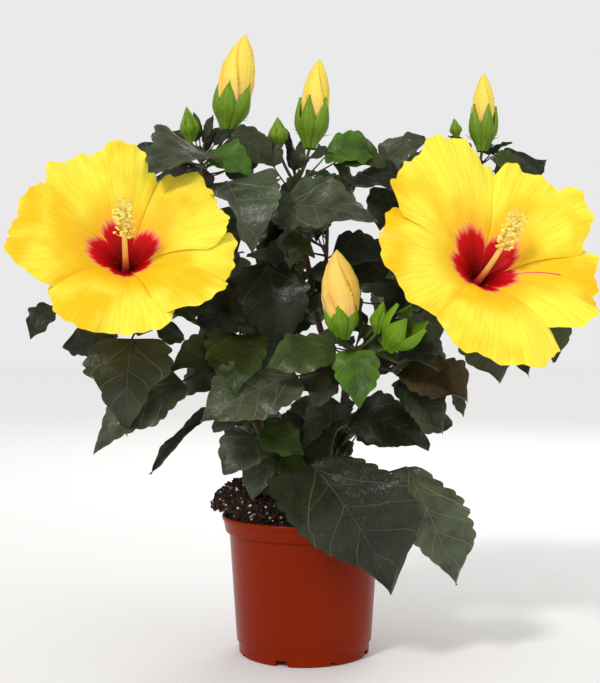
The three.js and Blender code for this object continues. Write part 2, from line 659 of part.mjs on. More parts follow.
// The trunk's flat cut rests on the soil; every other limb is cut clear of the ones it grows from.
const limbs = {
  main_stem: limb({
    from: new THREE.Vector3(trunkFoot.x, trunkFoot.y, soilForm.ground - 3), toward: -27, climb: 87,
    length: 99, thick: [4.3, 3.4], flare: 2.6, sides: 10, steps: 8, bow: [-2, 0, 0],
  }),
};
const clearOfWood = [];
const ground = new THREE.BoxGeometry(40, 40, 20).translate(trunkFoot.x, trunkFoot.y, soilForm.ground - 10);
add('main_stem', limbSolid(limbs.main_stem).subtract(solid(ground)), youngBark);
claim(limbSolid(limbs.main_stem), 'main_stem', 'wood');
clearOfWood.push(limbSolid(limbs.main_stem, gap));
for (const [name, row] of Object.entries(limbRows)) {
  limbs[name] = limb({ ...row, from: pointAlong(limbs[row.on], row.at) });
  const shape = fused([limbSolid(limbs[name]).subtract(wasm.Manifold.union(clearOfWood))]);
  clearOfWood.push(limbSolid(limbs[name], gap));
  add(name, claim(shape, name, 'wood'), youngBark);
}
const cutClear = (shape) => fused([shape.subtract(wasm.Manifold.union(clearOfWood))]);

for (const row of bloomRows) {
  const start = pointAlong(limbs[row.on], row.at);
  const stalk = limb({ ...row.stalk, from: start, thick: [1.9, 2.1], sides: 5, steps: 3 });
  const flower = { ...row.flower, from: pointAlong(stalk, 1) };
  const bloom = cutClear(bloomSolid({ ...row, stalk, flower }));
  clearOfWood.push(limbSolid(stalk, gap));
  add(row.name, claim(bloom, row.name, 'bloom'), petalYellow);
}

// A mass is one stem with its twigs, buds and leaves, each fused on; nudges are the other ways that a
// leaf may turn when its first way is taken.
const nudges = [
  [0, 0], [8, 0], [-8, 0], [0, 10], [0, -10], [14, 8], [-14, 8], [24, -6], [-24, -6], [38, 12], [-38, 12],
].map(([swing, droop]) => ({ swing, droop }));

function beginMass(row) {
  const start = pointAlong(limbs[row.on], row.at);
  const stem = limb({ ...row.stem, from: start, thick: [1.9, 1.4], sides: 6, steps: 2 });
  const mass = { row, stem, light: row.light ? direction(...row.light) : frontLight, pieces: [] };
  mass.pieces.push(claim(limbSolid(stem), row.name, 'stem'));
  for (const bud of row.buds ?? []) {
    const stalk = limb({
      from: pointAlong(stem, bud.along), toward: bud.toward, climb: bud.rise, length: bud.stalk,
      bow: [0, 0, -0.1 * bud.stalk], thick: [1.3, 1.2], sides: 5, steps: 2,
    });
    const body = budSolid(pointAlong(stalk, 1), {
      toward: bud.lean[0], climb: bud.lean[1], length: bud.length, width: bud.width,
      calyx: { width: bud.calyx[0], length: bud.calyx[1] },
    });
    mass.pieces.push(claim(limbSolid(stalk), row.name, 'stalk'), claim(body, row.name, 'bud'));
  }
  return mass;
}

function growLeaf(mass, row) {
  const isOwn = (other, ...kinds) => other.mass === mass.row.name && kinds.includes(other.kind);
  const pastBlade = taken.filter((other) => !isOwn(other, 'stalk'));
  const pastStalk = taken.filter((other) => !isOwn(other, 'stalk', 'stem'));
  for (const nudge of nudges) {
    const grown = leaf(mass.stem, row, mass.light, nudge);
    const tip = bladePoint(grown, 0, 1, 0, 0);
    if (tip.distanceTo(pointAlong(mass.stem, 0.5)) > (row.reach ?? Infinity)) continue;
    if (meets(bladeRoom(grown, apart), pastBlade)) continue;
    if (meets(limbSolid(stalkLimb(grown, gap)), pastStalk)) continue;
    mass.pieces.push(...leafSolids(grown));
    claim(bladeRoom(grown, 0), mass.row.name, 'blade');
    claim(limbSolid(stalkLimb(grown, 0)), mass.row.name, 'stalk');
    return;
  }
}

const masses = massRows.map(beginMass);
for (const mass of masses) {
  for (const shown of mass.row.shows) {
    const row = { ...shown, phase: between(0, 6.28) };
    growLeaf(mass, row);
  }
}
for (const mass of masses) {
  const { more, size, reach = 70 } = mass.row;
  for (let k = 0; k < more; k++) {
    const toward = 137.5 * k + between(-12, 12);
    const row = {
      along: between(0.3, 1), toward, rise: between(0, 40), stalk: between(14, 40),
      point: toward + between(-20, 20), hang: between(0, 55), blade: between(...size),
      wide: between(0.6, 0.82), phase: between(0, 6.28), reach,
    };
    growLeaf(mass, row);
  }
}
for (const mass of masses) add(mass.row.name, cutClear(wasm.Manifold.union(mass.pieces)), leafGreen);

export default plant;
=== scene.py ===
import math
from functools import partialmethod

import bpy
import numpy as np
from mathutils.kdtree import KDTree
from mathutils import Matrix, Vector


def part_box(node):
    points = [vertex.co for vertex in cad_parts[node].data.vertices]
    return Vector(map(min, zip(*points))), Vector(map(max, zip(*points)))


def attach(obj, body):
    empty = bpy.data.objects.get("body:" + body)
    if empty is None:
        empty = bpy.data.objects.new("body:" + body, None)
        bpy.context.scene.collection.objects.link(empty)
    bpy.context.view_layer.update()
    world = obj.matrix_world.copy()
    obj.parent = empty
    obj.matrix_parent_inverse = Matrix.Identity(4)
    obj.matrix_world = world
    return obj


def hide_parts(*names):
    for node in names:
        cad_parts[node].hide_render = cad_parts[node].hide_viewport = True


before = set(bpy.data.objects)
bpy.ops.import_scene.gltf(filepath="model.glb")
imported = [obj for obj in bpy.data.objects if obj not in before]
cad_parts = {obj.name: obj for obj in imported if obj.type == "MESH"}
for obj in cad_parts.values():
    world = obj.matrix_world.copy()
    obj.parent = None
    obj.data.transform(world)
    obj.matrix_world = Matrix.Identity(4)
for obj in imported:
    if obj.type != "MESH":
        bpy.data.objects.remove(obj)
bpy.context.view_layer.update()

# A young hibiscus in its nursery pot. The growing rule works in millimetres with the front of the plant
# toward -Y, as the solids do, and each mesh is brought to metres when it is made.
toMetres = 0.001
up = np.array((0.0, 0.0, 1.0))
fullTurn = 2 * math.pi


# Angles, seeded numbers and curves

def direction(toward, climb):  # toward turns from +X round to +Y, climb is above the level
    turn, lift = math.radians(toward), math.radians(climb)
    return np.array((math.cos(lift) * math.cos(turn), math.cos(lift) * math.sin(turn), math.sin(lift)))


def unit(vector):
    return vector / np.linalg.norm(vector, axis=-1, keepdims=True)


def seeded(seed):  # the Park-Miller rule that the solids grow by: the same seed grows the same plant
    state = seed

    def between(low, high):
        nonlocal state
        state = state * 48271 % 2147483647
        return low + (high - low) * state / 2147483647
    return between


def smooth(low, high, value):  # 0 below low, 1 above high, easing in between
    share = np.clip((value - low) / (high - low), 0, 1)
    return share * share * (3 - 2 * share)


def grid(along, across):
    return np.meshgrid(along, across, indexing="ij")


def turnsRound(count):  # evenly spaced angles of one whole turn
    return fullTurn * np.arange(count) / count


def axesRound(axis):  # two directions square to an axis and to each other
    away = up if abs(axis[2]) < 0.99 else np.array((1.0, 0.0, 0.0))
    right = unit(np.cross(away, axis))
    return right, np.cross(axis, right)


def outwardFrom(axis, turn):  # square to the axis, turned from its second direction toward its first
    right, top = axesRound(axis)
    return top * np.cos(turn)[..., None] + right * np.sin(turn)[..., None]


# Joined meshes: a store gathers closed shapes, and makePiece turns it into one object. Every face
# corner keeps its place on its own shape, from 0 to 1 both ways, for patterns that follow the surface.

def emptyStore():
    return dict(points=[], faces=[], slots=[], places=[], cells=[], count=0, shapes=0)


def addPoints(store, points):
    first = store["count"]
    store["points"].append(np.asarray(points, float).reshape(-1, 3))
    store["count"] += len(store["points"][-1])
    return first


def addFaces(store, faces, places, slot):
    for key, block in (("faces", faces), ("places", places), ("slots", np.full(len(faces), slot)),
                       ("cells", np.full(len(faces), store["shapes"]))):
        store[key].append(block)


def cellCorners(values):  # the four corners of each cell of a grid, in order round it
    corners = (values[:-1, :-1], values[:-1, 1:], values[1:, 1:], values[1:, :-1])
    return np.stack(corners, 2).reshape(-1, 4, *values.shape[2:])


def gridPlaces(rows, columns):
    along, across = grid(np.linspace(0, 1, rows), np.linspace(0, 1, columns))
    return cellCorners(np.stack((across, along), -1))


def addSheet(store, upper, lower, slots=(0, 0)):  # two grids that share their border, as one closed sheet
    rows, columns = upper.shape[:2]
    number = np.arange(rows * columns).reshape(rows, columns)
    inside = np.zeros((rows, columns), bool)
    inside[1:-1, 1:-1] = True
    under = number.copy()
    under[inside] = rows * columns + np.arange(inside.sum())
    first = addPoints(store, np.concatenate((upper.reshape(-1, 3), lower[inside])))
    turnedOver = (0, 3, 2, 1)  # still split along the same diagonal as the upper face
    for corners, order, slot in ((number, (0, 1, 2, 3), slots[0]), (under, turnedOver, slots[1])):
        addFaces(store, cellCorners(corners)[:, order] + first, gridPlaces(rows, columns)[:, order], slot)
        store["shapes"] += 1


def addRings(store, rings, ends, slot=0):  # a closed skin over rings that run counterclockwise, upward
    steps, sides = rings.shape[:2]
    first = addPoints(store, rings)
    poles = addPoints(store, ends)
    number = first + np.arange(steps * sides).reshape(steps, sides)
    closed = np.concatenate((number, number[:, :1]), 1)
    addFaces(store, cellCorners(closed), gridPlaces(steps, sides + 1), slot)
    share = np.arange(sides + 1) / sides
    for pole, row, along in ((poles, closed[0][::-1], 0.0), (poles + 1, closed[-1], 1.0)):
        before, after = (np.stack((part, np.full(sides, along)), -1) for part in (share[:-1], share[1:]))
        fan = np.stack((np.full(sides, pole), row[:-1], row[1:]), -1)
        addFaces(store, fan, np.stack((before, before, after), 1), slot)
    store["shapes"] += 1


def addTube(store, path, radii, sides, slot=0):  # radii: one for each point of the path, or each side too
    radii = np.broadcast_to(np.asarray(radii, float).reshape(len(path), -1), (len(path), sides))
    ahead = unit(np.gradient(path, axis=0))
    side = axesRound(ahead[0])[0]
    aside = []
    for step in ahead:
        side = unit(side - step * (side @ step))
        aside.append(side)
    turn = turnsRound(sides)
    ring = (np.array(aside)[:, None] * np.cos(turn)[:, None]
            + np.cross(ahead, aside)[:, None] * np.sin(turn)[:, None])
    addRings(store, path[:, None] + ring * radii[:, :, None], (path[0], path[-1]), slot)


golden = (1 + math.sqrt(5)) / 2
lumpForm = unit(np.array([
    (-1, golden, 0), (1, golden, 0), (-1, -golden, 0), (1, -golden, 0), (0, -1, golden), (0, 1, golden),
    (0, -1, -golden), (0, 1, -golden), (golden, 0, -1), (golden, 0, 1), (-golden, 0, -1),
    (-golden, 0, 1)]))
lumpFaces = np.array([
    (0, 11, 5), (0, 5, 1), (0, 1, 7), (0, 7, 10), (0, 10, 11), (1, 5, 9), (5, 11, 4), (11, 10, 2),
    (10, 7, 6), (7, 1, 8), (3, 9, 4), (3, 4, 2), (3, 2, 6), (3, 6, 8), (3, 8, 9), (4, 9, 5), (2, 4, 11),
    (6, 2, 10), (8, 6, 7), (9, 8, 1)])


def addLump(store, centre, size, between, slot=0):  # a small stone or crumb: a squashed and dented ball
    dents = np.array([between(0.75, 1.2) for corner in lumpForm])[:, None]
    squash = np.array((between(0.7, 1.2), between(0.7, 1.2), between(0.6, 1.0)))
    first = addPoints(store, np.asarray(centre) + lumpForm * size * dents * squash)
    place = np.broadcast_to(((0, 0), (1, 0), (0.5, 1)), (len(lumpFaces), 3, 2))
    addFaces(store, lumpFaces + first, place, slot)
    store["shapes"] += 1


# Objects

def newObject(name, data):
    piece = bpy.data.objects.new(name, data)
    bpy.context.scene.collection.objects.link(piece)
    return piece


def choose(*pieces):
    bpy.ops.object.select_all(action="DESELECT")
    for piece in pieces:
        piece.select_set(True)
    bpy.context.view_layer.objects.active = pieces[0]


def finishPiece(piece, nodes, crease=50):
    choose(piece)
    bpy.ops.object.shade_smooth_by_angle(angle=math.radians(crease))
    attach(piece, "root")
    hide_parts(*nodes)
    print("made", piece.name, len(piece.data.polygons), "faces")


def makePiece(name, store, materials, nodes, crease=50):
    mesh = bpy.data.meshes.new(name)
    faces = [face for block in store["faces"] for face in block.tolist()]
    mesh.from_pydata((np.concatenate(store["points"]) * toMetres).tolist(), [], faces)
    for material in materials:
        mesh.materials.append(material)
    mesh.polygons.foreach_set("material_index", np.concatenate(store["slots"]).astype(np.int32))
    places = np.concatenate([block.reshape(-1, 2) for block in store["places"]])
    cells = np.concatenate([np.repeat(cell, block.shape[1])
                            for cell, block in zip(store["cells"], store["faces"])])
    across = math.ceil(math.sqrt(store["shapes"]))
    margin = 0.04  # of a shape's square on the map that the finish is baked on
    corner = np.stack((cells % across, cells // across), -1)
    spread = (corner + margin + places * (1 - 2 * margin)) / across
    for layer, values in (("growth", places), ("OFBake", spread)):
        mesh.uv_layers.new(name=layer).data.foreach_set("uv", values.astype(np.float32).ravel())
    finishPiece(newObject(name, mesh), nodes, crease)


# Materials: colours are sRGB hex, turned to linear by one function, and patterns read the growth map or
# Object coordinates, whose scale is one over the pattern's size in metres. Numbers in the nodes are
# added, multiplied and compared as plain numbers are, and each step adds its Math node.

def linear(hexColour):
    values = [int(hexColour[at:at + 2], 16) / 255 for at in (1, 3, 5)]
    return (*[v / 12.92 if v <= 0.04045 else ((v + 0.055) / 1.055) ** 2.4 for v in values], 1.0)


def plugIn(tree, node, name, value):  # a node's value is linked, a colour or number is set
    if isinstance(value, NodeValue):
        tree.links.new(value.socket, node.inputs[name])
    else:
        node.inputs[name].default_value = linear(value) if isinstance(value, str) else value


def addNode(tree, kind, inputs=None, **settings):
    node = tree.nodes.new(kind)
    for name, value in settings.items():
        setattr(node, name, value)
    for name, value in (inputs or {}).items():
        plugIn(tree, node, name, value)
    return node


class NodeValue:
    def __init__(self, tree, socket):
        self.tree, self.socket = tree, socket

    def maths(self, operation, *others):
        inputs = dict(enumerate((self, *others)))
        return nodeValue(self.tree, "ShaderNodeMath", inputs, operation=operation)

    __add__, __sub__ = partialmethod(maths, "ADD"), partialmethod(maths, "SUBTRACT")
    __mul__, __pow__ = partialmethod(maths, "MULTIPLY"), partialmethod(maths, "POWER")
    __lt__, __gt__ = partialmethod(maths, "LESS_THAN"), partialmethod(maths, "GREATER_THAN")
    __abs__ = partialmethod(maths, "ABSOLUTE")


def nodeValue(tree, kind, inputs, output=0, **settings):
    return NodeValue(tree, addNode(tree, kind, inputs, **settings).outputs[output])


def smoothStep(value, low, high):
    return nodeValue(value.tree, "ShaderNodeMapRange", {
        "Value": value, "From Min": low, "From Max": high}, interpolation_type="SMOOTHSTEP")


def line(distance, width):  # 1 on a line, falling to 0 at width from it
    return smoothStep(distance, width, 0.0)


def mixed(share, first, second):
    return nodeValue(share.tree, "ShaderNodeMix", {0: share, 6: first, 7: second}, 2, data_type="RGBA")


def ramped(value, *stops):
    node = addNode(value.tree, "ShaderNodeValToRGB", {"Fac": value})
    while len(node.color_ramp.elements) < len(stops):
        node.color_ramp.elements.new(0.5)
    for element, (place, colour) in zip(node.color_ramp.elements, stops):
        element.position = place
        element.color = linear(colour) if isinstance(colour, str) else (colour, colour, colour, 1)
    return NodeValue(value.tree, node.outputs["Color"])


class Finish:  # one Principled material, and the patterns that it is painted with
    def __init__(self, name, colour, roughness, ior=1.45, **levels):
        self.material = bpy.data.materials.new(name)
        self.material.use_nodes = True
        self.material.diffuse_color = linear(colour)
        self.tree = self.material.node_tree
        self.shader = self.tree.nodes["Principled BSDF"]
        self.set(Base_Color=colour, Roughness=roughness, IOR=ior, **levels)

    def set(self, **levels):  # each level is an input of the shader, with _ for a space
        for name, value in levels.items():
            plugIn(self.tree, self.shader, name.replace("_", " "), value)

    def place(self):  # on a shape's own map
        return nodeValue(self.tree, "ShaderNodeUVMap", {}, "UV", uv_map="growth")

    def growth(self):  # how far round the shape, and how far along it
        parts = addNode(self.tree, "ShaderNodeSeparateXYZ", {"Vector": self.place()}).outputs
        return NodeValue(self.tree, parts["X"]), NodeValue(self.tree, parts["Y"])

    def where(self):
        return nodeValue(self.tree, "ShaderNodeTexCoord", {}, "Object")

    def stretched(self, place, scale):
        return nodeValue(self.tree, "ShaderNodeMapping", {"Vector": place, "Scale": scale})

    def noise(self, place, scale=1.0, detail=3.0):
        return nodeValue(self.tree, "ShaderNodeTexNoise", {
            "Vector": place, "Scale": scale, "Detail": detail})

    def cloud(self, size, detail=3.0):  # soft variation whose blotches are size millimetres across
        return self.noise(self.where(), 1000 / size, detail)

    def bump(self, height, strength, distance):
        self.set(Normal=nodeValue(self.tree, "ShaderNodeBump", {
            "Height": height, "Strength": strength, "Distance": distance}))
        return self.material


# Limbs, masses and blooms, as the solids have them: angles in degrees, lengths in millimetres. The values
# of a row stand in the order of these names, and a row may leave out the last.

def rowMaker(*names):
    return lambda *values: dict(zip(names, values))


limbRow = rowMaker("on", "at", "toward", "climb", "length", "thick", "bow")
leafRow = rowMaker("along", "toward", "rise", "stalk", "point", "hang", "blade", "wide", "tone")
budRow = rowMaker("along", "toward", "rise", "stalk", "lean", "length", "width", "calyx")
backRow = rowMaker("on", "at", "stem", "more", "size", "light")
petalRow = rowMaker("turn", "length", "curl", "tone", "half")


def massRow(on, at, stem, more, size, shows, buds=()):  # with the leaves and buds that show from in front
    return dict(on=on, at=at, stem=stem, more=more, size=size, shows=[leafRow(*row) for row in shows],
                buds=[budRow(*row) for row in buds])


limbRows = dict(
    left_low_bough=limbRow("main_stem", 0.12, -174, 38, 76, (3.4, 2.9), (0, -3, -5)),
    left_bough=limbRow("left_low_bough", 1, -176, 69, 90, (2.8, 2.4), (-5, 0, 2)),
    left_top_bough=limbRow("left_bough", 1, 163, 81, 109, (2.4, 1.9), (-4, 3, 0)),
    left_side_bough=limbRow("left_bough", 1, -157, 26, 50, (2.2, 1.8), (0, 0, -2)),
    middle_low_bough=limbRow("main_stem", 1, 172, 70, 80, (2.8, 2.5), (-3, 0, -2)),
    middle_bough=limbRow("middle_low_bough", 1, 164, 77, 63, (2.4, 1.9), (2, 2, 0)),
    right_bough=limbRow("main_stem", 1, -18, 31, 45, (2.6, 2.3), (0, 0, -3)),
    right_upper_bough=limbRow("right_bough", 1, -8, 59, 55, (2.3, 1.9), (3, 0, -2)),
    right_top_bough=limbRow("main_stem", 1, 16, 62, 166, (2.9, 2), (3, 4, -4)),
    front_bough=limbRow("main_stem", 1, -86, 25, 46, (2.1, 1.8), (0, 0, -3)),
    back_bough=limbRow("middle_low_bough", 1, 78, 20, 62, (2.3, 1.8), (0, 0, -4)),
    back_left_bough=limbRow("left_bough", 1, 98, 26, 66, (2.2, 1.8), (0, 0, -4)),
    back_right_bough=limbRow("main_stem", 1, 62, 38, 86, (2.6, 1.9), (0, 0, -5)))
# A leaf row may end with its tone: grey is painted lighter for leaves in the light, deep painted darker
# for leaves in shade.
massRows = dict(
    left_top_leaves=massRow("left_top_bough", 1, (-110, 80, 31), 6, (34, 52), [
        (0.9, -85, 10, 31, -125, 15, 67, 0.85, "grey"), (1, 160, 30, 19, 155, -25, 26, 0.8),
        (0.8, -65, 20, 27, -35, 30, 42, 0.7, "fresh"), (0.4, -70, -5, 46, -50, 45, 70, 0.95, "grey"),
        (0.6, 30, 15, 28, 25, -30, 40, 0.75)], [
        (0.8, 8, 54, 34, (8, 79), 79, 28, (29, 36)), (0.9, -156, 61, 18, (-125, 79), 25, 9, (14, 20))]),
    middle_leaves=massRow("middle_bough", 1, (-80, 80, 30), 6, (34, 56), [
        (0.5, -110, -15, 42, -25, 10, 84, 0.62, "grey"), (0.9, -20, 40, 31, -5, 0, 41, 0.65, "fresh"),
        (0.7, 5, 0, 47, -135, -35, 35, 0.75), (0.9, -70, 30, 29, -55, -10, 31, 0.6),
        (0.6, -135, 35, 35, 115, -65, 27, 0.7)], [
        (1, -30, 63, 27, (37, 82), 73, 22, (26, 36)), (0.9, -155, 60, 32, (-89, 85), 22, 9, (15, 18))]),
    right_top_leaves=massRow("right_top_bough", 1, (-5, 45, 52), 7, (34, 54), [
        (0.2, -180, 30, 55, -15, -25, 40, 0.6), (0.1, -150, 20, 42, -155, 10, 47, 0.55),
        (0.35, -145, 15, 40, -125, 50, 49, 0.8), (0.9, 15, 45, 15, -25, -25, 19, 0.4),
        (0.7, 20, -15, 32, 15, -30, 46, 0.7)], [
        (0.9, -72, 62, 12, (61, 86), 64, 18, (22, 33)), (0.9, -173, 52, 29, (180, 80), 14, 6, (9, 11))]),
    right_side_leaves=massRow("right_upper_bough", 1, (0, 30, 58), 7, (40, 62), [
        (0.4, -170, -5, 43, 170, -35, 62, 0.8, "deep"), (0.4, -170, -30, 42, -25, 60, 46, 0.85),
        (0.5, -65, -55, 30, -45, 60, 55, 0.95), (0.8, -20, -65, 53, -50, 60, 47, 0.45),
        (0.9, -10, -30, 53, -50, 75, 50, 0.7), (1, 5, 30, 54, -20, -20, 31, 0.6)]),
    right_low_leaves=massRow("right_bough", 0.8, (-65, -5, 26), 4, (40, 60), [
        (0.9, -75, 15, 14, -30, 25, 56, 0.7, "olive"), (0.5, -60, -20, 15, -35, 45, 54, 0.68)]),
    front_leaves=massRow("front_bough", 1, (-90, 35, 24), 2, (30, 45), [
        (0.9, -90, 0, 22, -85, 65, 44, 0.75, "fresh"), (0.7, -120, 10, 24, -160, 15, 53, 0.62, "mid"),
        (0.4, -160, -15, 46, -165, 25, 80, 0.62, "grey")], [
        (0.85, -113, 25, 21, (-161, 85), 66, 28, (24, 25)), (1, -31, 2, 28, (-36, 46), 29, 14, (22, 25)),
        (1, -37, 30, 24, (-56, 71), 22, 9, (13, 17))]),
    left_side_leaves=massRow("left_side_bough", 1, (-170, 5, 32), 5, (36, 55), [
        (0.6, -100, -40, 42, -95, 70, 71, 0.95, "dark"), (0.8, -150, -55, 33, 165, 10, 37, 0.75),
        (1, -175, -10, 51, -140, 50, 33, 0.7), (0.4, -30, -80, 26, 5, -20, 40, 1)]),
    centre_leaves=massRow("middle_low_bough", 0.85, (-125, 40, 40), 10, (45, 66), [
        (0.8, -155, 30, 30, -65, 65, 72, 0.75, "deep"), (1, -150, 75, 30, -20, 25, 28, 0.7),
        (0.9, 175, 55, 46, 165, 55, 33, 0.7), (0.4, 20, 50, 30, -40, 65, 44, 0.75)]),
    left_centre_leaves=massRow("left_bough", 0.82, (-55, 25, 32), 7, (40, 62), [
        (0.6, 60, 85, 44, -175, 60, 54, 0.85, "deep"), (0.8, -85, -20, 22, -160, 15, 64, 0.62),
        (1, -10, 50, 17, -65, 70, 43, 0.65), (0.5, -145, -30, 57, -160, 35, 86, 0.5),
        (0.6, -35, -55, 53, -170, 20, 50, 0.7)]),
    foot_left_leaves=massRow("left_low_bough", 0.85, (-100, 15, 24), 4, (36, 55), [
        (0.6, -125, 30, 24, -145, 45, 41, 0.95), (0.8, -115, 40, 24, -25, 25, 40, 0.7),
        (0.5, -90, 0, 23, -140, 40, 52, 0.72), (0.9, -145, 35, 61, -165, 45, 69, 0.28),
        (1, 20, 45, 34, -165, 50, 24, 0.85)]),
    foot_front_leaves=massRow("main_stem", 0.2, (-105, 45, 39), 4, (40, 60), [
        (0.6, -110, 10, 55, -30, 50, 109, 0.92, "deep"), (0.4, -40, 10, 68, -35, 65, 94, 0.66, "grey"),
        (0.95, -45, 60, 41, -25, 20, 67, 0.65), (0.8, -20, 50, 31, -15, 20, 29, 0.6),
        (1, -70, 85, 46, -160, 55, 44, 0.5)]),
    foot_back_leaves=backRow("main_stem", 0.45, (80, 35, 44), 8, (45, 72), (80, 45)),
    low_back_leaves=backRow("left_low_bough", 0.7, (118, 30, 40), 7, (42, 68), (110, 45)),
    back_left_leaves=backRow("back_left_bough", 1, (110, 50, 40), 14, (40, 70), (100, 45)),
    back_middle_leaves=backRow("back_bough", 1, (85, 60, 44), 16, (40, 72), (85, 45)),
    back_right_leaves=backRow("back_right_bough", 1, (60, 50, 42), 14, (40, 70), (60, 45)))
bloomRows = dict(
    left_bloom=dict(
        on="left_side_bough", at=0.9, stalk=(-132, 20, 52), flower=(-82, 37), column=(-84, 44),
        bow=(0, 0, -2), seed=11, petals=[
            (193, 86, 105, 1, 47), (118, 90, 95, 1), (57, 87, 88),
            (341, 95, 85), (276, 92, 92)]),
    right_bloom=dict(
        on="right_upper_bough", at=0.9, stalk=(-66, 7, 59), flower=(-72, 34), column=(-56, 46),
        bow=(0, 0, -3), seed=23, petals=[
            (334, 106, 85), (51, 98, 84), (116, 90, 98, 2),
            (188, 100, 105, 1), (264, 99, 95)]))

# How the finished leaves differ from the solids' leaves: new values for the row, and the share of the
# usual width that the right and the left half keep at five stages from foot to tip. Then the leaves that
# are added, and the openings where the sky shows through, as (x, z) and half sizes seen from the front.
whole = (1, 1, 1, 1, 1)
reshaped = dict(
    left_top_leaves={
        0: dict(hang=21, blade=62),
        3: dict(point=-72, hang=50, blade=67,
                trim=((1.6, 1.25, 1.05, 1.1, 1.1), (1.3, 1.2, 0.2, 0.12, 0.3)))},
    middle_leaves={
        1: dict(hang=-6, blade=42, wide=0.75,
                trim=((0.6, 0.8, 1.1, 1.6, 2.2), (0.9, 0.7, 0.6, 0.9, 1.6)))},
    right_top_leaves={
        0: dict(hang=-22, stalk=62, trim=(whole, (1, 1.2, 1.4, 1.4, 1.2))), 1: dict(hang=4, wide=0.7),
        4: dict(trim=((1, 1.3, 1.6, 1.3, 0.9), whole))},
    right_side_leaves={
        0: dict(trim=(whole, (1, 0.6, 0.4, 0.4, 0.55))), 2: dict(blade=58), 3: dict(blade=40),
        4: dict(stalk=50)},
    right_low_leaves={0: dict(trim=((1, 1, 1.05, 1.4, 2), whole))},
    left_side_leaves={
        0: dict(trim=((1, 1, 0.85, 0.62, 0.6), (1, 1, 0.86, 0.7, 0.62))), 1: dict(blade=42, wide=0.9),
        2: dict(stalk=58, rise=-3, blade=31), 3: dict(blade=27)},
    front_leaves={2: dict(trim=(whole, (1, 0.95, 0.95, 1.1, 1.3)))},
    left_centre_leaves={3: dict(trim=((1, 0.8, 0.78, 0.85, 1), (1, 1, 1, 1, 1.1)))},
    foot_left_leaves={2: dict(stalk=57, rise=32, wide=0.17, hang=53)},
    foot_front_leaves={
        0: dict(heel=0.15, trim=((0.6, 0.68, 0.84, 1, 1.35), (1.05, 0.95, 0.86, 0.62, 0.45))),
        1: dict(trim=((0.45, 0.62, 0.88, 1, 1.2), (1, 0.9, 0.85, 0.75, 0.5))), 2: dict(blade=63)})
addedRows = dict(
    right_low_leaves=[
        (0, 150, 65, 36, 170, -20, 24, 0.8, "deep"), (1, -8, -20, 44, -10, 70, 20, 0.5, "dark")],
    front_leaves=[
        (0.3, -150, -10, 14, 180, 35, 38, 0.7), (0.3, -160, -30, 20, -150, 55, 30, 0.75)],
    centre_leaves=[
        (0.1, -110, -30, 14, -150, 30, 32, 0.8)],
    left_centre_leaves=[
        (0.2, -170, -50, 18, 170, 40, 40, 0.75)],
    foot_left_leaves=[
        (0.8, -130, -20, 12, -120, 70, 36, 0.7), (0.5, -60, -10, 12, -40, 50, 34, 0.7)],
    right_top_leaves=[
        (0.1, -178, 14, 47, -165, 78, 34, 0.8, "dark"), (0.95, 170, 55, 14, 170, -30, 22, 0.4)],
    left_top_leaves=[
        (0.1, -20, -48, 17, -20, 60, 38, 0.7, "dark"), (1, 10, 75, 12, 10, -72, 22, 0.34),
        (1, 180, 72, 14, 180, -80, 20, 0.36), (1, 120, 80, 17, 170, -80, 22, 0.32),
        (1, -20, 75, 17, 30, -76, 20, 0.32), (0.9, 60, 60, 12, 30, -62, 24, 0.34),
        (0.95, -10, 50, 16, 0, -35, 22, 0.42)],
    middle_leaves=[
        (1, 175, 78, 24, 170, -75, 20, 0.35), (1, 150, 70, 10, 120, -75, 24, 0.34),
        (1, 30, 75, 10, 60, -78, 26, 0.34), (0.95, -100, 65, 10, -100, -60, 20, 0.36),
        (1, -10, 25, 42, -10, 10, 34, 0.7)])
openings = [
    (42, 333, 19, 15), (14, 317, 12, 10), (-73, 160, 17, 17), (43, 357, 4, 12), (-57, 357, 5, 7),
    (59, 405, 8, 6), (-22, 375, 5, 10), (69, 205, 9, 6), (-50, 306, 5, 6), (-79, 261, 8, 10),
    (112, 246, 8, 5), (-7, 171, 6, 8), (49, 288, 3, 6), (22, 410, 8, 4), (189, 220, 8, 6),
    (102, 168, 7, 5), (59, 156, 25, 6), (-95, 252, 10, 7)]


# Growing: the solids' own rule, written again. Each mass is one stem with its stalks, buds and leaves.

bladeForm = dict(foot=0.42, tip=0.76, lobe=0.07, arch=0.09, fold=0.16, wave=0.025)
frontLight = (-90, 37)
trunkFoot = (29, 6)
soilShape = dict(level=103, ground=112, clods=13, heap=(-34, 4), heapRadius=34, heapTop=131)
nudges = ((0, 0), (8, 0), (-8, 0), (0, 10), (0, -10), (14, 8), (-14, 8), (24, -6), (-24, -6), (38, 12),
          (-38, 12))
turnsAside = ((0, 0), (30, 0), (-30, 0), (60, 10), (-60, 10), (90, 20), (-90, 20))
goldenAngle, fullPhase = 137.5, 6.28
grownForm = dict(swing=12, along=(0.3, 1), rise=(0, 40), stalk=(14, 40), point=20, hang=(0, 55),
                 wide=(0.6, 0.82))
eye = dict(away=950, height=261)  # where the openings are seen from


def limb(start, toward, climb, length, thick, bow=(0, 0, 0), flare=0):
    return dict(start=np.array(start, float), aim=direction(toward, climb), length=length,
                thick=thick, bow=np.array(bow, float), flare=flare)


def pointAlong(branch, share):
    share = np.asarray(share, float)[..., None]
    bowed = 4 * share * (1 - share)  # 1 at the middle
    return branch["start"] + branch["aim"] * branch["length"] * share + branch["bow"] * bowed


def limbOn(row, place, thick, bow=(0, 0, 0)):  # a limb that grows from the one its row names
    return limb(pointAlong(limbs[row["on"]], row["at"]), *place, thick, bow)


def limbRadius(branch, share):
    base, end = branch["thick"]
    return base + (end - base) * share + branch["flare"] * np.exp(-share * branch["length"] / 7)


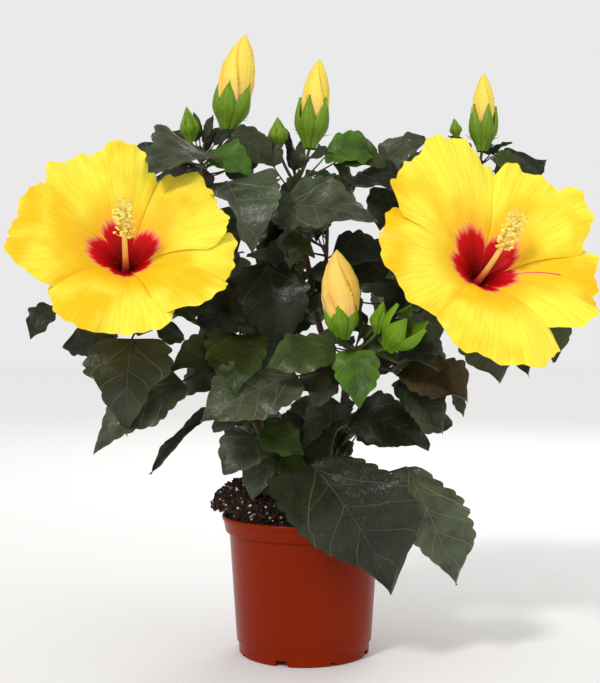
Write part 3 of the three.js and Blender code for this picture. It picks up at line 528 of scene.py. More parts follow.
def bladeWidth(v):
    widest = bladeForm["foot"] / (bladeForm["foot"] + bladeForm["tip"])
    most = widest ** bladeForm["foot"] * (1 - widest) ** bladeForm["tip"]
    return v ** bladeForm["foot"] * (1 - v) ** bladeForm["tip"] / most


def seededRow(between, number, form, size):
    swing, point = form["swing"], form["point"]
    toward = goldenAngle * number + between(-swing, swing)
    row = leafRow(between(*form["along"]), toward, between(*form["rise"]), between(*form["stalk"]),
                  toward + between(-point, point), between(*form["hang"]), between(*size),
                  between(*form["wide"]))
    return dict(row, phase=between(0, fullPhase))


def leafAt(mass, row, swing=0, droop=0):
    root = pointAlong(mass["stem"], row["along"])
    foot = root + direction(row["toward"] + swing, row["rise"]) * row["stalk"]
    aim = direction(row["point"] + swing, -(row["hang"] + droop))
    face = unit(mass["light"] - aim * (mass["light"] @ aim))
    return dict(root=root, foot=foot, aim=aim, face=face, side=np.cross(aim, face), row=row,
                turned=(swing, droop))


def bladePoint(leaf, u, v, lift=0.0):  # u runs from margin to margin, v from foot to tip
    row = leaf["row"]
    half = np.maximum(row["blade"] * row["wide"] * bladeWidth(np.clip(v, 0, 1)) / 2, 0.8)
    across = np.abs(u)
    heel = bladeForm["lobe"] + row.get("heel", 0) * (u > 0)
    along = v - heel * across * 12 * v * (1 - v) ** 6
    height = (bladeForm["arch"] * row["blade"] * 4 * v * (1 - v) + bladeForm["fold"] * half * across
              + bladeForm["wave"] * row["blade"] * across * np.sin(9 * v + row["phase"]) + lift)
    return (leaf["foot"] + leaf["aim"] * (row["blade"] * along)[..., None]
            + leaf["side"] * (u * half)[..., None] + leaf["face"] * height[..., None])


def grownLeaves(mass, row):  # turned as the solid's leaf is turned, or none where the solids skipped it
    for swing, droop in nudges:
        leaf = leafAt(mass, row, swing, droop)
        tip = leaf["foot"] + leaf["aim"] * row["blade"] + leaf["face"] * max(1.1, row["blade"] / 70) / 2
        if mass["corners"].find(tip * toMetres)[2] < 0.1 * toMetres:
            return [leaf]
    return []


def nodeCorners(node):
    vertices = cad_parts[node].data.vertices
    tree = KDTree(len(vertices))
    for index, vertex in enumerate(vertices):
        tree.insert(vertex.co, index)
    tree.balance()
    return tree


def beginMass(name, row):
    stem = limbOn(row, row["stem"], (1.9, 1.4))
    buds = []
    for bud in row.get("buds", ()):
        stalk = limb(pointAlong(stem, bud["along"]), bud["toward"], bud["rise"], bud["stalk"],
                     (1.3, 1.2), bow=(0, 0, -0.1 * bud["stalk"]))
        buds.append(dict(bud, start=pointAlong(stalk, 1), stalkLimb=stalk))
    return dict(row, stem=stem, light=direction(*row.get("light", frontLight)), buds=buds,
                behind="light" in row, leaves=[], corners=nodeCorners(name), shows=row.get("shows", []))


between = seeded(2026)
for draw in range(3 * soilShape["clods"]):  # the solids draw each clod's size and place first
    between(0, 1)
trunkStart = (*trunkFoot, soilShape["ground"] - 3)
limbs = dict(main_stem=limb(trunkStart, -27, 87, 99, (4.3, 3.4), bow=(-2, 0, 0), flare=2.6))
for name, row in limbRows.items():
    limbs[name] = limbOn(row, (row["toward"], row["climb"], row["length"]), row["thick"], row["bow"])
masses = {name: beginMass(name, row) for name, row in massRows.items()}
for mass in masses.values():
    for shown in mass["shows"]:
        mass["leaves"] += grownLeaves(mass, dict(shown, phase=between(0, fullPhase)))
for mass in masses.values():
    for number in range(mass["more"]):
        mass["leaves"] += grownLeaves(mass, seededRow(between, number, grownForm, mass["size"]))
for name, changes in reshaped.items():
    leaves = masses[name]["leaves"]
    for number, change in changes.items():
        leaf = leaves[number]
        leaves[number] = leafAt(masses[name], {**leaf["row"], **change}, *leaf["turned"])


def closesOpening(leaf):  # the share of the blade that stands before the sky, seen from in front
    points = bladePoint(leaf, *np.meshgrid((-0.9, -0.4, 0, 0.4, 0.9), np.linspace(0.05, 1, 10)))
    nearer = eye["away"] / (eye["away"] + points[..., 1])
    x, z = points[..., 0] * nearer, eye["height"] + (points[..., 2] - eye["height"]) * nearer
    inside = [((x - at) / wide) ** 2 + ((z - high) / tall) ** 2 < 1 for at, high, wide, tall in openings]
    return np.any(inside, axis=0).mean()


for mass in masses.values():  # a leaf in front of an opening turns aside, or isn't grown
    shown = len(mass["shows"])
    grown = mass["leaves"][shown:]
    del mass["leaves"][shown:]
    for leaf in grown:
        swing, droop = leaf["turned"]
        tries = [leafAt(mass, leaf["row"], swing + aside, droop + down) for aside, down in turnsAside]
        mass["leaves"] += [turned for turned in tries if closesOpening(turned) < 0.03][:1]
for name, rows in addedRows.items():
    mass = masses[name]
    for row in rows:
        mass["leaves"].append(leafAt(mass, dict(leafRow(*row), phase=between(0, fullPhase))))
print("grew", sum(len(mass["leaves"]) for mass in masses.values()), "leaves on", len(masses), "stems")


# Leaves: waxy blades with rounded teeth, sunk side veins, a keeled midrib and wandering margins

leafLook = dict(toothLength=8.5, toothDepth=3.6, ripple=0.022, wave=0.055, pucker=0.014, sideVeins=5.5,
                veinSlant=1.3, palm=0.52, thick=0.8, curl=(-0.04, 0.2), sway=0.05, lobedShare=0.3,
                lobe=0.15, midrib=0.024, palmRib=0.019, sideRib=0.036, net=0.08, veinShare=0.58, blotch=14,
                crinkle=4)
# Painted light and shade: the grey tone is paler, for leaves that catch the light and its sheen, and the
# deep tone darker, for leaves in shade; both are also drawn at random among the usual tones.
leafTones = dict(  # blade, vein, roughness
    dark=("#2c3318", "#7a8164", 0.33), grey=("#414930", "#959d84", 0.30),
    deep=("#1c210c", "#62694c", 0.34), olive=("#3c3018", "#6c5a38", 0.38),
    fresh=("#3f6606", "#8fb244", 0.36), mid=("#33420e", "#748a3c", 0.32))
underTones = dict(underside=("#4a5230", "#7c8558", 0.55), freshUnderside=("#557a20", "#8fae4c", 0.55))
bladeGrids = dict(fine=(4, (0.05, 0.24, 0.5, 0.78)), plain=(3, (0.08, 0.6)))  # rows for a tooth, columns
trimPlaces = (0.05, 0.2, 0.4, 0.6, 0.8)


# a colour made lighter or darker by a share: the painted light and painted shade of leaves and sepals
def litOrShadedCopy(colour, share):
    return (*[share * value for value in linear(colour)[:3]], 1.0)


def leafMaterial(name, blade, vein, roughness):  # cuticle over green cells: glossy, crinkled, paler veins, with painted highlight towards the margins and painted shade along the midrib and in dark blotches
    look = leafLook
    finish = Finish(name, blade, roughness)
    x, y = finish.growth()
    across = abs(x * 2.0 - 1.0)
    ray = y * (-1 / look["palm"]) + across  # 0 on the pair of veins that leave the foot
    side = (y * look["sideVeins"] - across * look["veinSlant"]).maths("PINGPONG", 0.5)
    palmRibs = line(abs(ray), look["palmRib"]) * (y < look["palm"])
    sideRibs = line(side, look["sideRib"]) * (ray < 0.0) * 0.6
    net = nodeValue(finish.tree, "ShaderNodeTexVoronoi", {
        "Vector": finish.stretched(finish.place(), (9, 15, 1))}, "Distance", feature="DISTANCE_TO_EDGE")
    veins = line(across, look["midrib"])
    for ribs in (palmRibs, sideRibs, line(net, look["net"]) * 0.3):
        veins = veins.maths("MAXIMUM", ribs)
    # painted light: each blade is lighter towards its margins and darker along the midrib, as light falls
    # across it
    cells = mixed(across ** 2.0, blade, litOrShadedCopy(blade, 1.5))
    # painted shade: dark blotches spread at random over the blade
    cells = mixed(smoothStep(finish.cloud(look["blotch"]), 0.35, 0.7) * 0.8, cells, litOrShadedCopy(blade, 0.35))
    crinkle = finish.cloud(look["crinkle"])
    finish.set(Base_Color=mixed(veins * look["veinShare"], cells, vein),
               Roughness=crinkle * 0.3 + (roughness - 0.12))
    return finish.bump(veins * -0.5 + crinkle, 0.5, 0.0013)


def addBlade(store, leaf, slots, meshing, between):
    row, look, span = leaf["row"], leafLook, leaf["row"]["blade"]
    steps, columns = bladeGrids[meshing]
    teeth = int(np.clip(round(span / look["toothLength"]), 4, 15))
    v, u = grid(np.linspace(0, 1, teeth * steps + 1), (-1, *[-u for u in columns[::-1]], *columns, 1))
    across, left = np.abs(u), u < 0
    margin = across == 1
    part = (np.arange(len(u)) % steps / steps)[:, None] ** 1.3
    size = np.array([between(0.5, 1.3) for tooth in range(2 * teeth + 2)])
    size = size[(v * teeth).astype(int) + np.where(left, 0, teeth + 1)]
    deep = np.clip(2 * look["toothDepth"] / (span * row["wide"]), 0.03, 0.13)
    scallop = ((np.sin(math.pi * part) ** 0.7 - 0.6) * size * deep * smooth(0.05, 0.22, v)
               * (1 - smooth(0.86, 0.97, v)))
    lobed = look["lobe"] * (between(0, 1) < look["lobedShare"])
    form = 1 - 0.38 * smooth(0.68, 0.96, v) + lobed * (
        np.exp(-((v - 0.4) / 0.09) ** 2) - 0.7 * np.exp(-((v - 0.57) / 0.07) ** 2))
    if "trim" in row:
        form = form * np.where(left, *[np.interp(v, trimPlaces, half) for half in row["trim"]])
    u = u * form * np.where(margin, 1 + scallop, 1)
    right = u > 0
    phase = row["phase"]
    beat = fullTurn * (v * look["sideVeins"] - across * look["veinSlant"])
    fade = smooth(0, 0.12, v)
    lift = span * (
        -look["pucker"] * np.cos(beat) * np.sin(math.pi * across) * (v < 0.95)
        + look["ripple"] * across ** 3 * np.sin(19 * v + 3 * phase + right * 2) * fade
        + look["wave"] * across ** 2 * np.sin(8 * v + 5 * phase + right * 2.5) * fade
        - between(*look["curl"]) * v ** 3 + between(-0.08, 0.08) * u * v)
    sway = (between(-1, 1) * look["sway"] * span * v ** 2)[..., None] * leaf["side"]
    half = look["thick"] / 2 * (1 + 0.8 * (1 - smooth(0, 0.12, across)))
    upper, lower = (bladePoint(leaf, u, v, lift + side) + sway for side in (half, -half))
    edge = margin | (v == 0) | (v == 1)
    upper[edge] = lower[edge] = ((upper + lower) / 2)[edge]
    addSheet(store, upper, lower, slots)


def addStalk(store, leaf, slot):  # a petiole sags a little and turns into the midrib
    root, foot, blade = leaf["root"], leaf["foot"], leaf["row"]["blade"]
    share = np.linspace(0, 1, 8)[:, None]
    sag = 0.2 * np.linalg.norm(foot - root)
    intoRib = foot + leaf["aim"] * min(5.0, 0.1 * blade) - leaf["face"] * 0.2
    path = root * (1 - share) + foot * share - up * (sag * share * (1 - share))
    along = np.linspace(0, 1, 9)
    radii = (0.45 + blade / 180) * (1.25 - 0.4 * along + 0.5 * np.exp(-12 * along))
    radii[-1] = (0.45 + blade / 180) * 0.35
    addTube(store, np.concatenate((path, intoRib[None])), radii, 7, slot)


leafPieces = dict(frontLeaves=emptyStore(), backLeaves=emptyStore())
stalkStore = emptyStore()
leafMaterials = {tone: leafMaterial(tone + "LeafCuticle", *leafTones[tone]) for tone in leafTones}
leafMaterials.update({tone: leafMaterial(tone + "Cuticle", *underTones[tone]) for tone in underTones})
# drawn at random; the grey and deep tones among them carry painted light and painted shade
usualTones = (
    "dark", "deep", "dark", "grey", "mid", "deep", "dark", "deep", "dark", "mid", "grey", "olive")


def pieceOf(mass):
    return "backLeaves" if mass["behind"] else "frontLeaves"


def addLeaf(mass, leaf, meshing):
    leafRandom = seeded(77 + round(1e6 * leaf["row"]["phase"]))
    tone = leaf["row"].get("tone") or usualTones[int(leafRandom(0, len(usualTones) - 0.01))]
    under = "freshUnderside" if tone == "fresh" else "underside"
    slots = [list(leafMaterials).index(name) for name in (tone, under)]
    addBlade(leafPieces[pieceOf(mass)], leaf, slots, meshing, leafRandom)
    addStalk(stalkStore, leaf, 1 if tone == "fresh" else 0)


for mass in masses.values():
    for number, leaf in enumerate(mass["leaves"]):
        near = number < len(mass["shows"]) or leaf["row"]["blade"] > 40
        addLeaf(mass, leaf, "fine" if near else "plain")


# Young leaves that the solids leave out: they fill the spaces of each stem where nothing else grows

youngLeaves = dict(tries=16, spare=5.5, paler=0.35, swing=15, along=(0.35, 1), rise=(5, 60), stalk=(8, 22),
                   point=25, hang=(-30, 35), blade=(16, 34), wide=(0.55, 0.75))


def bladeSpots(leaf):
    v, u = grid((0.1, 0.4, 0.7, 1.0), (-0.8, 0, 0.8))
    return bladePoint(leaf, u, v).reshape(-1, 3)


filled = np.concatenate([bladeSpots(leaf) for mass in masses.values() for leaf in mass["leaves"]]
                        + [pointAlong(branch, np.linspace(0, 1, 12)) for branch in limbs.values()]
                        + [mass["stem"]["start"][None] for mass in masses.values()])
youngRandom = seeded(404)
added = 0
for mass in masses.values():
    for number in range(youngLeaves["tries"]):
        row = seededRow(youngRandom, number, youngLeaves, youngLeaves["blade"])
        row["tone"] = "mid" if youngRandom(0, 1) < youngLeaves["paler"] else "dark"
        leaf = leafAt(mass, row)
        spots = bladeSpots(leaf)[3:]
        apart = np.linalg.norm(filled[:, None] - spots[None], axis=-1).min()
        if apart > youngLeaves["spare"] and closesOpening(leaf) < 0.1:
            addLeaf(mass, leaf, "plain")
            filled = np.concatenate((filled, spots))
            added += 1
print("added", added, "young leaves")


# Wood: young bark with rings where leaves have been, shallow furrows and pale breathing pores

barkLook = dict(sides=18, trunkSides=24, step=1.6, ring=13, ringHeight=0.35, furrow=0.10, collar=0.9,
                grain=1.5, pores=3.5)


def addBough(store, branch, sides, slot=0, relief=1.0):
    look = barkLook
    share = np.linspace(0, 1, max(6, int(branch["length"] / look["step"])))
    own = float(abs(branch["start"]).sum())  # makes each limb's grain its own
    along, turn = grid(share * branch["length"], turnsRound(sides))
    rings = np.exp(-((along + own) % look["ring"] - look["ring"] / 2) ** 2 / 1.2)
    rough = (np.sin(3 * turn + 0.35 * along + own) * np.sin(0.9 * along + 2 * turn + own)
             + 0.7 * np.sin(7 * turn + 0.6 * np.sin(along / 3)))
    raised = look["collar"] * np.exp(-along / 2.5) + look["ringHeight"] * rings + look["furrow"] * rough
    radii = limbRadius(branch, share)[:, None] + relief * raised
    addTube(store, pointAlong(branch, share), radii, sides, slot)


def barkMaterial():  # thin cork over green wood: dull brown, lengthwise grain, pale pores
    finish = Finish("youngHibiscusBark", "#5a3a24", 0.72)
    where = finish.where()
    grain = finish.noise(finish.stretched(where, (1, 1, 0.25)), 1000 / barkLook["grain"], 5.0)
    spots = line(nodeValue(finish.tree, "ShaderNodeTexVoronoi", {
        "Vector": where, "Scale": 1000 / barkLook["pores"]}), 0.22)
    finish.set(Base_Color=mixed(spots * 0.5, mixed(grain, "#3a2216", "#7a5638"), "#a08662"))
    return finish.bump(grain + spots, 0.5, 0.0003)


barkStore = emptyStore()
for name, branch in limbs.items():
    addBough(barkStore, branch, barkLook["trunkSides" if name == "main_stem" else "sides"])
makePiece("woodyStems", barkStore, [barkMaterial()], limbs)


# Green wood: the stems that carry leaves, their petioles and the stalks of buds and blooms

def stalkMaterial(name, colour, blush):  # a smooth skin with a reddish mottle
    finish = Finish(name, colour, 0.45, ior=1.4)
    finish.set(Base_Color=mixed(finish.cloud(6), colour, blush))
    return finish.bump(finish.cloud(1.2), 0.25, 0.0002)


for mass in masses.values():
    addBough(stalkStore, mass["stem"], 10, slot=2, relief=0.5)
    for bud in mass["buds"]:
        addBough(stalkStore, bud["stalkLimb"], 10, slot=1, relief=0.3)
bloomStalks = {name: limbOn(row, row["stalk"], (1.9, 2.1)) for name, row in bloomRows.items()}
for stalk in bloomStalks.values():
    addBough(stalkStore, stalk, 12, slot=1, relief=0.3)
makePiece("leafStalks", stalkStore, [
    stalkMaterial("maturePetioleSkin", "#3c3320", "#4a2a1a"),
    stalkMaterial("youngStalkSkin", "#4c6a22", "#5d5a26"),
    stalkMaterial("greenWoodSkin", "#4a3b22", "#5a4a2c")], masses)
for name, store in leafPieces.items():
    nodes = [node for node, mass in masses.items() if pieceOf(mass) == name]
    makePiece(name, store, leafMaterials.values(), nodes, crease=70)


# Sepals and bracts: pointed green leaves round a bud or behind a bloom

sepalForm = dict(count=5, tipShare=0.55, keel=0.06, rolled=0.13, thick=0.35)
bractForm = dict(share=0.5, splay=48, first=20, thick=0.75, tip=0.12)


def addSepal(store, start, axis, turn, length, radius, wide, splay, slot, shut):
    form = sepalForm
    t, x = grid(np.linspace(0, 1, 12), np.linspace(-1, 1, 9))
    narrowing = np.clip((1 - t) / form["tipShare"], 0.03, 1) ** 0.9
    outward = outwardFrom(axis, math.radians(turn) + x * math.radians(wide) * narrowing)
    girth = radius * (0.35 + 0.65 * smooth(0, 0.5, t)) * (1 - 0.18 * smooth(0.6, 1, t))
    girth = girth * (1 - shut * np.clip((t - 0.3) / 0.7, 0, 1) ** 1.4)
    girth = girth + splay * length * smooth(0.35, 1, t) * t
    height = length * t * (1 - 0.35 * splay * t)
    girth = girth + radius * (form["keel"] * np.exp(-(x / 0.25) ** 2) - form["rolled"] * np.abs(x) ** 4)
    middle = start + axis * height[..., None] + outward * girth[..., None]
    thick = form["thick"] * (1 - np.abs(x)) ** 0.5 * np.minimum(1, (1 - t) * 6) * np.minimum(1, t * 8)
    half = outward * thick[..., None]
    addSheet(store, middle - half, middle + half, (slot, slot))


def addBract(store, start, axis, turn, length, slot):  # the narrow outer bracts under the sepals
    form, share = bractForm, np.linspace(0, 1, 8)
    lean = math.radians(form["splay"]) * (0.35 + 0.65 * share)
    path = (start + outwardFrom(axis, math.radians(turn)) * (length * share * np.sin(lean))[:, None]
            + axis * (length * share * np.cos(lean))[:, None])
    addTube(store, path, form["thick"] * (1 - share ** 1.5) + form["tip"], 6, slot)


def addCalyx(store, start, axis, length, radius, splay=0.0, slot=0, bracts=8, turn=0, shut=0.0):
    for sepal in range(sepalForm["count"]):
        addSepal(store, start, axis, turn + 72 * sepal, length, radius * (1 + 0.03 * (sepal % 2)),
                 46 if splay > 0.05 else 41, splay, slot, shut)
    for bract in range(bracts):
        aside = turn + 360 * bract / bracts + bractForm["first"]
        addBract(store, start, axis, aside, bractForm["share"] * length, slot)


# Buds: five petals furled round each other, each edge lying over the next

budLook = dict(petals=5, lap=0.16, twist=0.22, around=80, rows=36, fluting=0.015, tall=40)
budGirth = ((0, 0.1, 0.25, 0.45, 0.62, 0.82, 0.94, 1), (0.3, 0.6, 0.88, 1, 0.92, 0.6, 0.26, 0.03))
budKinds = dict(tall=dict(sepals=1.14, mouth=2, splay=0.03, shut=0),
                opened=dict(sepals=1.35, mouth=1.5, splay=0.08, shut=0, core=(0.5, 0.5)),
                small=dict(sepals=1.25, mouth=1.7, splay=0.03, shut=0.95, core=(1.1, 0.95)))


def addFurled(store, start, axis, low, high, radius, slot):
    look = budLook
    t, turn = grid(np.linspace(0, 1, look["rows"]), turnsRound(look["around"]))
    wound = (look["petals"] * (turn / fullTurn + look["twist"] * t)) % 1
    step = (wound - 0.5) * look["lap"] * np.clip(1.4 - t, 0.4, 1)
    flute = look["fluting"] * np.sin(turn * 25 + 14 * t)
    reach = radius * np.interp(t, *budGirth) * (1 + step + flute)
    skin = (start + axis * (low + (high - low) * t)[..., None]
            + outwardFrom(axis, fullTurn / 4 - turn) * reach[..., None])
    addRings(store, skin, (start + axis * low, start + axis * (high + 0.4)), slot)


sepalStore = emptyStore()
budStore = emptyStore()
for name, mass in masses.items():
    young = int(name == "front_leaves")
    for bud in mass["buds"]:
        start, axis, radius = bud["start"], direction(*bud["lean"]), bud["width"] / 2
        calyxWidth, calyxLength = bud["calyx"]
        tall = bud["length"] > budLook["tall"]
        kind = budKinds["tall" if tall else "opened" if calyxWidth > 18 and young else "small"]
        sepals = calyxLength * (kind["sepals"] + 0.06 * (young and tall))
        addCalyx(sepalStore, start, axis, sepals, calyxWidth / kind["mouth"], slot=young,
                 turn=bud["toward"], splay=kind["splay"], shut=kind["shut"])
        if tall:
            addFurled(budStore, start, axis, 0.25 * calyxLength, bud["length"], radius, young)
        else:
            long, wide = kind["core"]
            addFurled(sepalStore, start, axis, 1, bud["length"] * long, radius * wide, young)


# Blooms: five broad petals in a pinwheel round a red eye, with a column of stamens

petalForm = dict(throat=4, open=34, half=41, round=0.15, lap=2.4, ruffle=3.2)
petalLook = dict(rows=48, columns=61, thick=0.45, frill=1.5, crease=0.8, ragged=0.03)
columnForm = dict(length=58, thick=(2.4, 1.5), flare=1.6)
columnLook = dict(threads=120, threadLength=(3.5, 7.5), thread=0.22, brush=0.36, anther=1.5, styles=5,
                  styleLength=7, style=0.42, pad=1.7)
calyxForm = dict(length=17, mouth=7.5)


def petalPoints(flower, petal, phase, t, x, off):
    form, look = petalForm, petalLook
    opened = math.radians(form["open"])
    swing = math.radians(petal["curl"]) - opened
    ragged = np.sin(6 * x + phase) + 0.6 * np.sin(15 * x + 2 * phase) + 0.3 * np.sin(37 * x + phase)
    reach = petal["length"] * (1 - form["round"] * x ** 2 - 0.10 * np.abs(x) ** 6) * (
        1 + look["ragged"] * ragged * t ** 4)
    lean = opened + swing * t
    radius = form["throat"] + reach * (np.cos(opened) - np.cos(lean)) / swing
    height = reach * (np.sin(lean) - np.sin(opened)) / swing
    ruffle = form["lap"] * x * t + form["ruffle"] * t ** 3 * np.sin(phase + 5 * x)
    frill = look["frill"] * t ** 6 * (np.sin(13 * x + 3 * phase) + 0.5 * np.sin(29 * x + phase))
    pleat = look["crease"] * smooth(0.15, 0.6, t) * (
        np.sin(7 * x + 3 * phase + 3 * t) + 0.45 * np.sin(13 * x - 5 * t + phase)
        + 0.12 * np.sin(41 * x + 4 * t)) * (0.6 + 0.4 * np.sin(5 * t + phase))
    around = math.radians(petal["turn"]) + x * math.radians(petal.get("half", form["half"]))
    off = off + ruffle + frill + pleat
    return (flower["throat"] + flower["axis"] * (height + off * np.sin(lean))[..., None]
            + outwardFrom(flower["axis"], around) * (radius - off * np.cos(lean))[..., None])


def addPetal(store, flower, petal, phase, slots):
    t, x = grid(np.linspace(0, 1, petalLook["rows"]), np.linspace(-1, 1, petalLook["columns"]))
    body = petalLook["thick"] * (1 - np.abs(x) ** 8) * (1 - t ** 12) * (1.5 - t)
    body[(t == 0) | (t == 1) | (np.abs(x) == 1)] = 0
    upper, lower = (petalPoints(flower, petal, phase, t, x, side) for side in (body, -body))
    addSheet(store, upper, lower, slots)


def addColumn(store, column, loose):
    look, aim = columnLook, column["aim"]
    share = np.linspace(0, 1, 24)
    girth = limbRadius(column, share) + columnForm["flare"] * np.exp(-share * 14)
    addTube(store, pointAlong(column, share), girth, 14, 0)
    for number in range(look["threads"]):
        root = pointAlong(column, 0.985 - look["brush"] * loose(0, 1) ** 1.4)
        reach = loose(*look["threadLength"])
        bent = aim * loose(0.3, 0.9)
        outward = outwardFrom(aim, fullTurn / 4 - math.radians(goldenAngle * number))
        steps = np.linspace(0, 1, 5)[:, None]
        path = root + outward * reach * steps + bent * reach * steps ** 2
        addTube(store, path, np.full(5, look["thread"]), 5, 1)
        addLump(store, path[-1], look["anther"], loose, 2)
    for style in range(look["styles"]):
        outward = outwardFrom(aim, fullTurn / 4 - math.radians(72 * style + 15))
        steps = np.linspace(0, 1, 7)[:, None]
        reach = look["styleLength"]
        path = pointAlong(column, 1.0) + outward * reach * 0.75 * steps ** 1.3 + aim * reach * steps
        addTube(store, path, np.full(7, look["style"]), 6, 1)
        addLump(store, path[-1], look["pad"], loose, 3)


petalStore = emptyStore()
columnStore = emptyStore()
for name, row in bloomRows.items():
    axis = direction(*row["flower"])
    start = pointAlong(bloomStalks[name], 1)
    flower = dict(axis=axis, throat=start + axis * calyxForm["length"])
    phases = seeded(row["seed"])
    for petal in [petalRow(*values) for values in row["petals"]]:
        addPetal(petalStore, flower, petal, phases(0, fullPhase), (petal.get("tone", 0), 3))
    addCalyx(sepalStore, start - axis, axis, calyxForm["length"] * 1.5, calyxForm["mouth"], splay=0.08,
             bracts=9)
    column = limb(flower["throat"] - axis * 3, *row["column"], columnForm["length"] + 3,
                  columnForm["thick"], row["bow"])
    addColumn(columnStore, column, seeded(row["seed"] + 5))


def petalMaterial(name, eyeSize, streak=None):  # thin silky tissue with fine veins, red in the throat
    finish = Finish(name, "#ffd91e", 0.48, ior=1.38, Subsurface_Weight=0.15, Specular_IOR_Level=0.22,
                    Subsurface_Radius=(0.004, 0.003, 0.0006))
    x, y = finish.growth()
    feather = finish.noise(finish.stretched(finish.place(), (16, 1.3, 1)))
    veins = finish.noise(finish.stretched(finish.place(), (70, 3.5, 1)), detail=2.0)
    reach = y * (1 / eyeSize) + (feather * 0.14 - 0.07) + abs(x * 2.0 - 1.0) ** 3.0 * 0.09
    colour = ramped(reach, (0.0, "#520002"), (0.12, "#8a0206"), (0.22, "#b60408"), (0.315, "#d60812"),
                    (0.345, "#f2806a"), (0.38, "#fcc42c"), (0.6, "#fccb18"), (1.0, "#fccb18"))
    lemon = smoothStep(finish.cloud(45, 2.0), 0.36, 0.6) * smoothStep(y, 0.35, 0.7)
    amber = nodeValue(finish.tree, "ShaderNodeMapRange", {
        "Value": veins, "From Min": 0.45, "From Max": 0.8}) * smoothStep(y, 0.3, 0.45) * 0.45
    colour = mixed(amber, mixed(lemon, colour, "#fff04a"), "#f4ab0c")
    if streak:
        foot, slope, start, end = streak
        track = line(abs(y * slope + foot - x), 0.02)
        colour = mixed(track * (y > start) * (y < end), colour, "#e0357c")
    finish.set(Base_Color=colour)
    return finish.bump(veins, 0.25, 0.0005)


def fleshMaterial(name, colour, other, roughness, size, sheen=0.0):  # soft tissue, faintly mottled
    finish = Finish(name, colour, roughness, ior=1.4, Sheen_Weight=sheen)
    finish.set(Base_Color=mixed(finish.cloud(size), colour, other))
    return finish.bump(finish.cloud(size / 3), 0.3, 0.0002)


def columnMaterial():  # smooth wet tissue, red where it leaves the throat and cream above
    finish = Finish("stamenColumnTissue", "#ffe680", 0.4, ior=1.4)
    along = finish.growth()[1]
    finish.set(Base_Color=ramped(along, (0.0, "#a80f1c"), (0.10, "#c9262c"), (0.22, "#ef7a4a"),
                                 (0.34, "#fbd05a"), (1.0, "#fff0a8")))
    return finish.material


def budMaterial(name, petal, edge):  # folded petals: pleats run up the bud, orange where an edge shows, with painted shade of the same orange in the pleat grooves
    finish = Finish(name, petal, 0.5, ior=1.38)
    x, y = finish.growth()
    wound = (y * budLook["twist"] + x) * budLook["petals"]
    warm = ramped(wound.maths("FRACT"), (0.0, 0.6), (0.15, 0.15), (0.85, 0.0), (1.0, 0.5))
    pleats = (wound * 6.0).maths("PINGPONG", 0.5)
    blush = smoothStep(y, 0.6, 0.2) * smoothStep(finish.cloud(12), 0.4, 0.6) * 0.6
    # the orange at the petal edges is the bud's own colour; the same orange along the pleat grooves is
    # painted shade
    finish.set(Base_Color=mixed(warm.maths("MAXIMUM", line(pleats, 0.2) * 0.35),
                                mixed(blush, petal, "#f9b99a"), edge))
    return finish.bump(pleats + finish.cloud(1.2), 0.4, 0.0006)


def sepalMaterial(name, colour, rib):  # leafy and slightly downy, with a pale rib and veins, and a mottled painted shade towards the foot of each sepal
    finish = Finish(name, colour, 0.5, ior=1.4)
    x, y = finish.growth()
    ribs = (x * 4.0).maths("PINGPONG", 0.5)
    # painted shade: darker towards the foot of the sepal, broken by a mottle
    skin = mixed(finish.cloud(5) * smoothStep(y, 1.3, 0.0), colour, litOrShadedCopy(colour, 0.4))
    finish.set(Base_Color=mixed(line(ribs, 0.2) * 0.18, skin, rib))
    return finish.bump(ribs, 0.35, 0.0004)


budNodes = [name for name, mass in masses.items() if mass["buds"]]
makePiece("petals", petalStore, [
    petalMaterial("upperPetalTissue", 1.05), petalMaterial("lowerPetalTissue", 0.75),
    petalMaterial("streakedPetalTissue", 0.9, streak=(0.36, 0.05, 0.25, 0.66)),
    petalMaterial("petalBackTissue", 0.2)], bloomRows, crease=60)
makePiece("stamenColumns", columnStore, [
    columnMaterial(), fleshMaterial("stamenThreadTissue", "#ffef9c", "#ffe066", 0.45, 2),
    fleshMaterial("pollenGrains", "#fff792", "#ffe84e", 0.8, 1, sheen=0.3),
    fleshMaterial("stigmaDown", "#f6e27a", "#e9b93c", 0.7, 1, sheen=0.3)], bloomRows)
makePiece("furledBuds", budStore, [budMaterial("budPetalSilk", "#ffe65c", "#efb42a"),
                                   budMaterial("peachBudPetalSilk", "#ffdb66", "#f09c44")],
          budNodes, crease=40)
makePiece("sepals", sepalStore, [sepalMaterial("matureSepalSkin", "#739a0d", "#9ab848"),
                                 sepalMaterial("youngSepalSkin", "#6f9b06", "#96bc34")],
          [*budNodes, *bloomRows])


# Nursery pot: one injection moulding, turned from its profile, with drain notches through its foot

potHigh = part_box("pot")[1]
potShape = dict(rim=potHigh.x / toMetres, height=potHigh.z / toMetres, foot=51.5, step=9, floor=6,
                segments=144, edge=0.35)
rimSteps = (  # how far each edge of the rim lies in from its radius and down from its height
    (5.9, 14.2), (5.2, 13.6), (4.4, 13), (2.9, 12.6), (2.5, 11.4), (1.2, 3.8), (0.3, 3.3), (0, 2.6),
    (0, 0.9), (0.3, 0.2), (1, 0), (1.9, 0), (2.6, 0.8), (4.2, 11), (7.2, 14))
notches = ((-110, 11, 4.6), (-65, 4, 2.8))  # turn, width and depth of the two in each quarter


def potProfile():  # (radius, height) from the middle of the underside, round the rim and back inside
    rim, height, foot, step, floor = (potShape[key] for key in ("rim", "height", "foot", "step", "floor"))
    return (
        (0, 0), (17, 0), (19, 3.5), (41, 3.5), (43, 0), (foot - 1, 0), (foot, 1.2), (foot + 0.4, step),
        (foot + 1.6, step + 1.2), (foot + 1.9, step + 2),
        *[(rim - inset, height - drop) for inset, drop in rimSteps], (foot, step + 3), (foot - 3, floor),
        (0, floor))


def modifyAndApply(piece, kind, **settings):
    modifier = piece.modifiers.new(kind, kind)
    for name, value in settings.items():
        setattr(modifier, name, value)
    choose(piece)
    bpy.ops.object.modifier_apply(modifier=modifier.name)


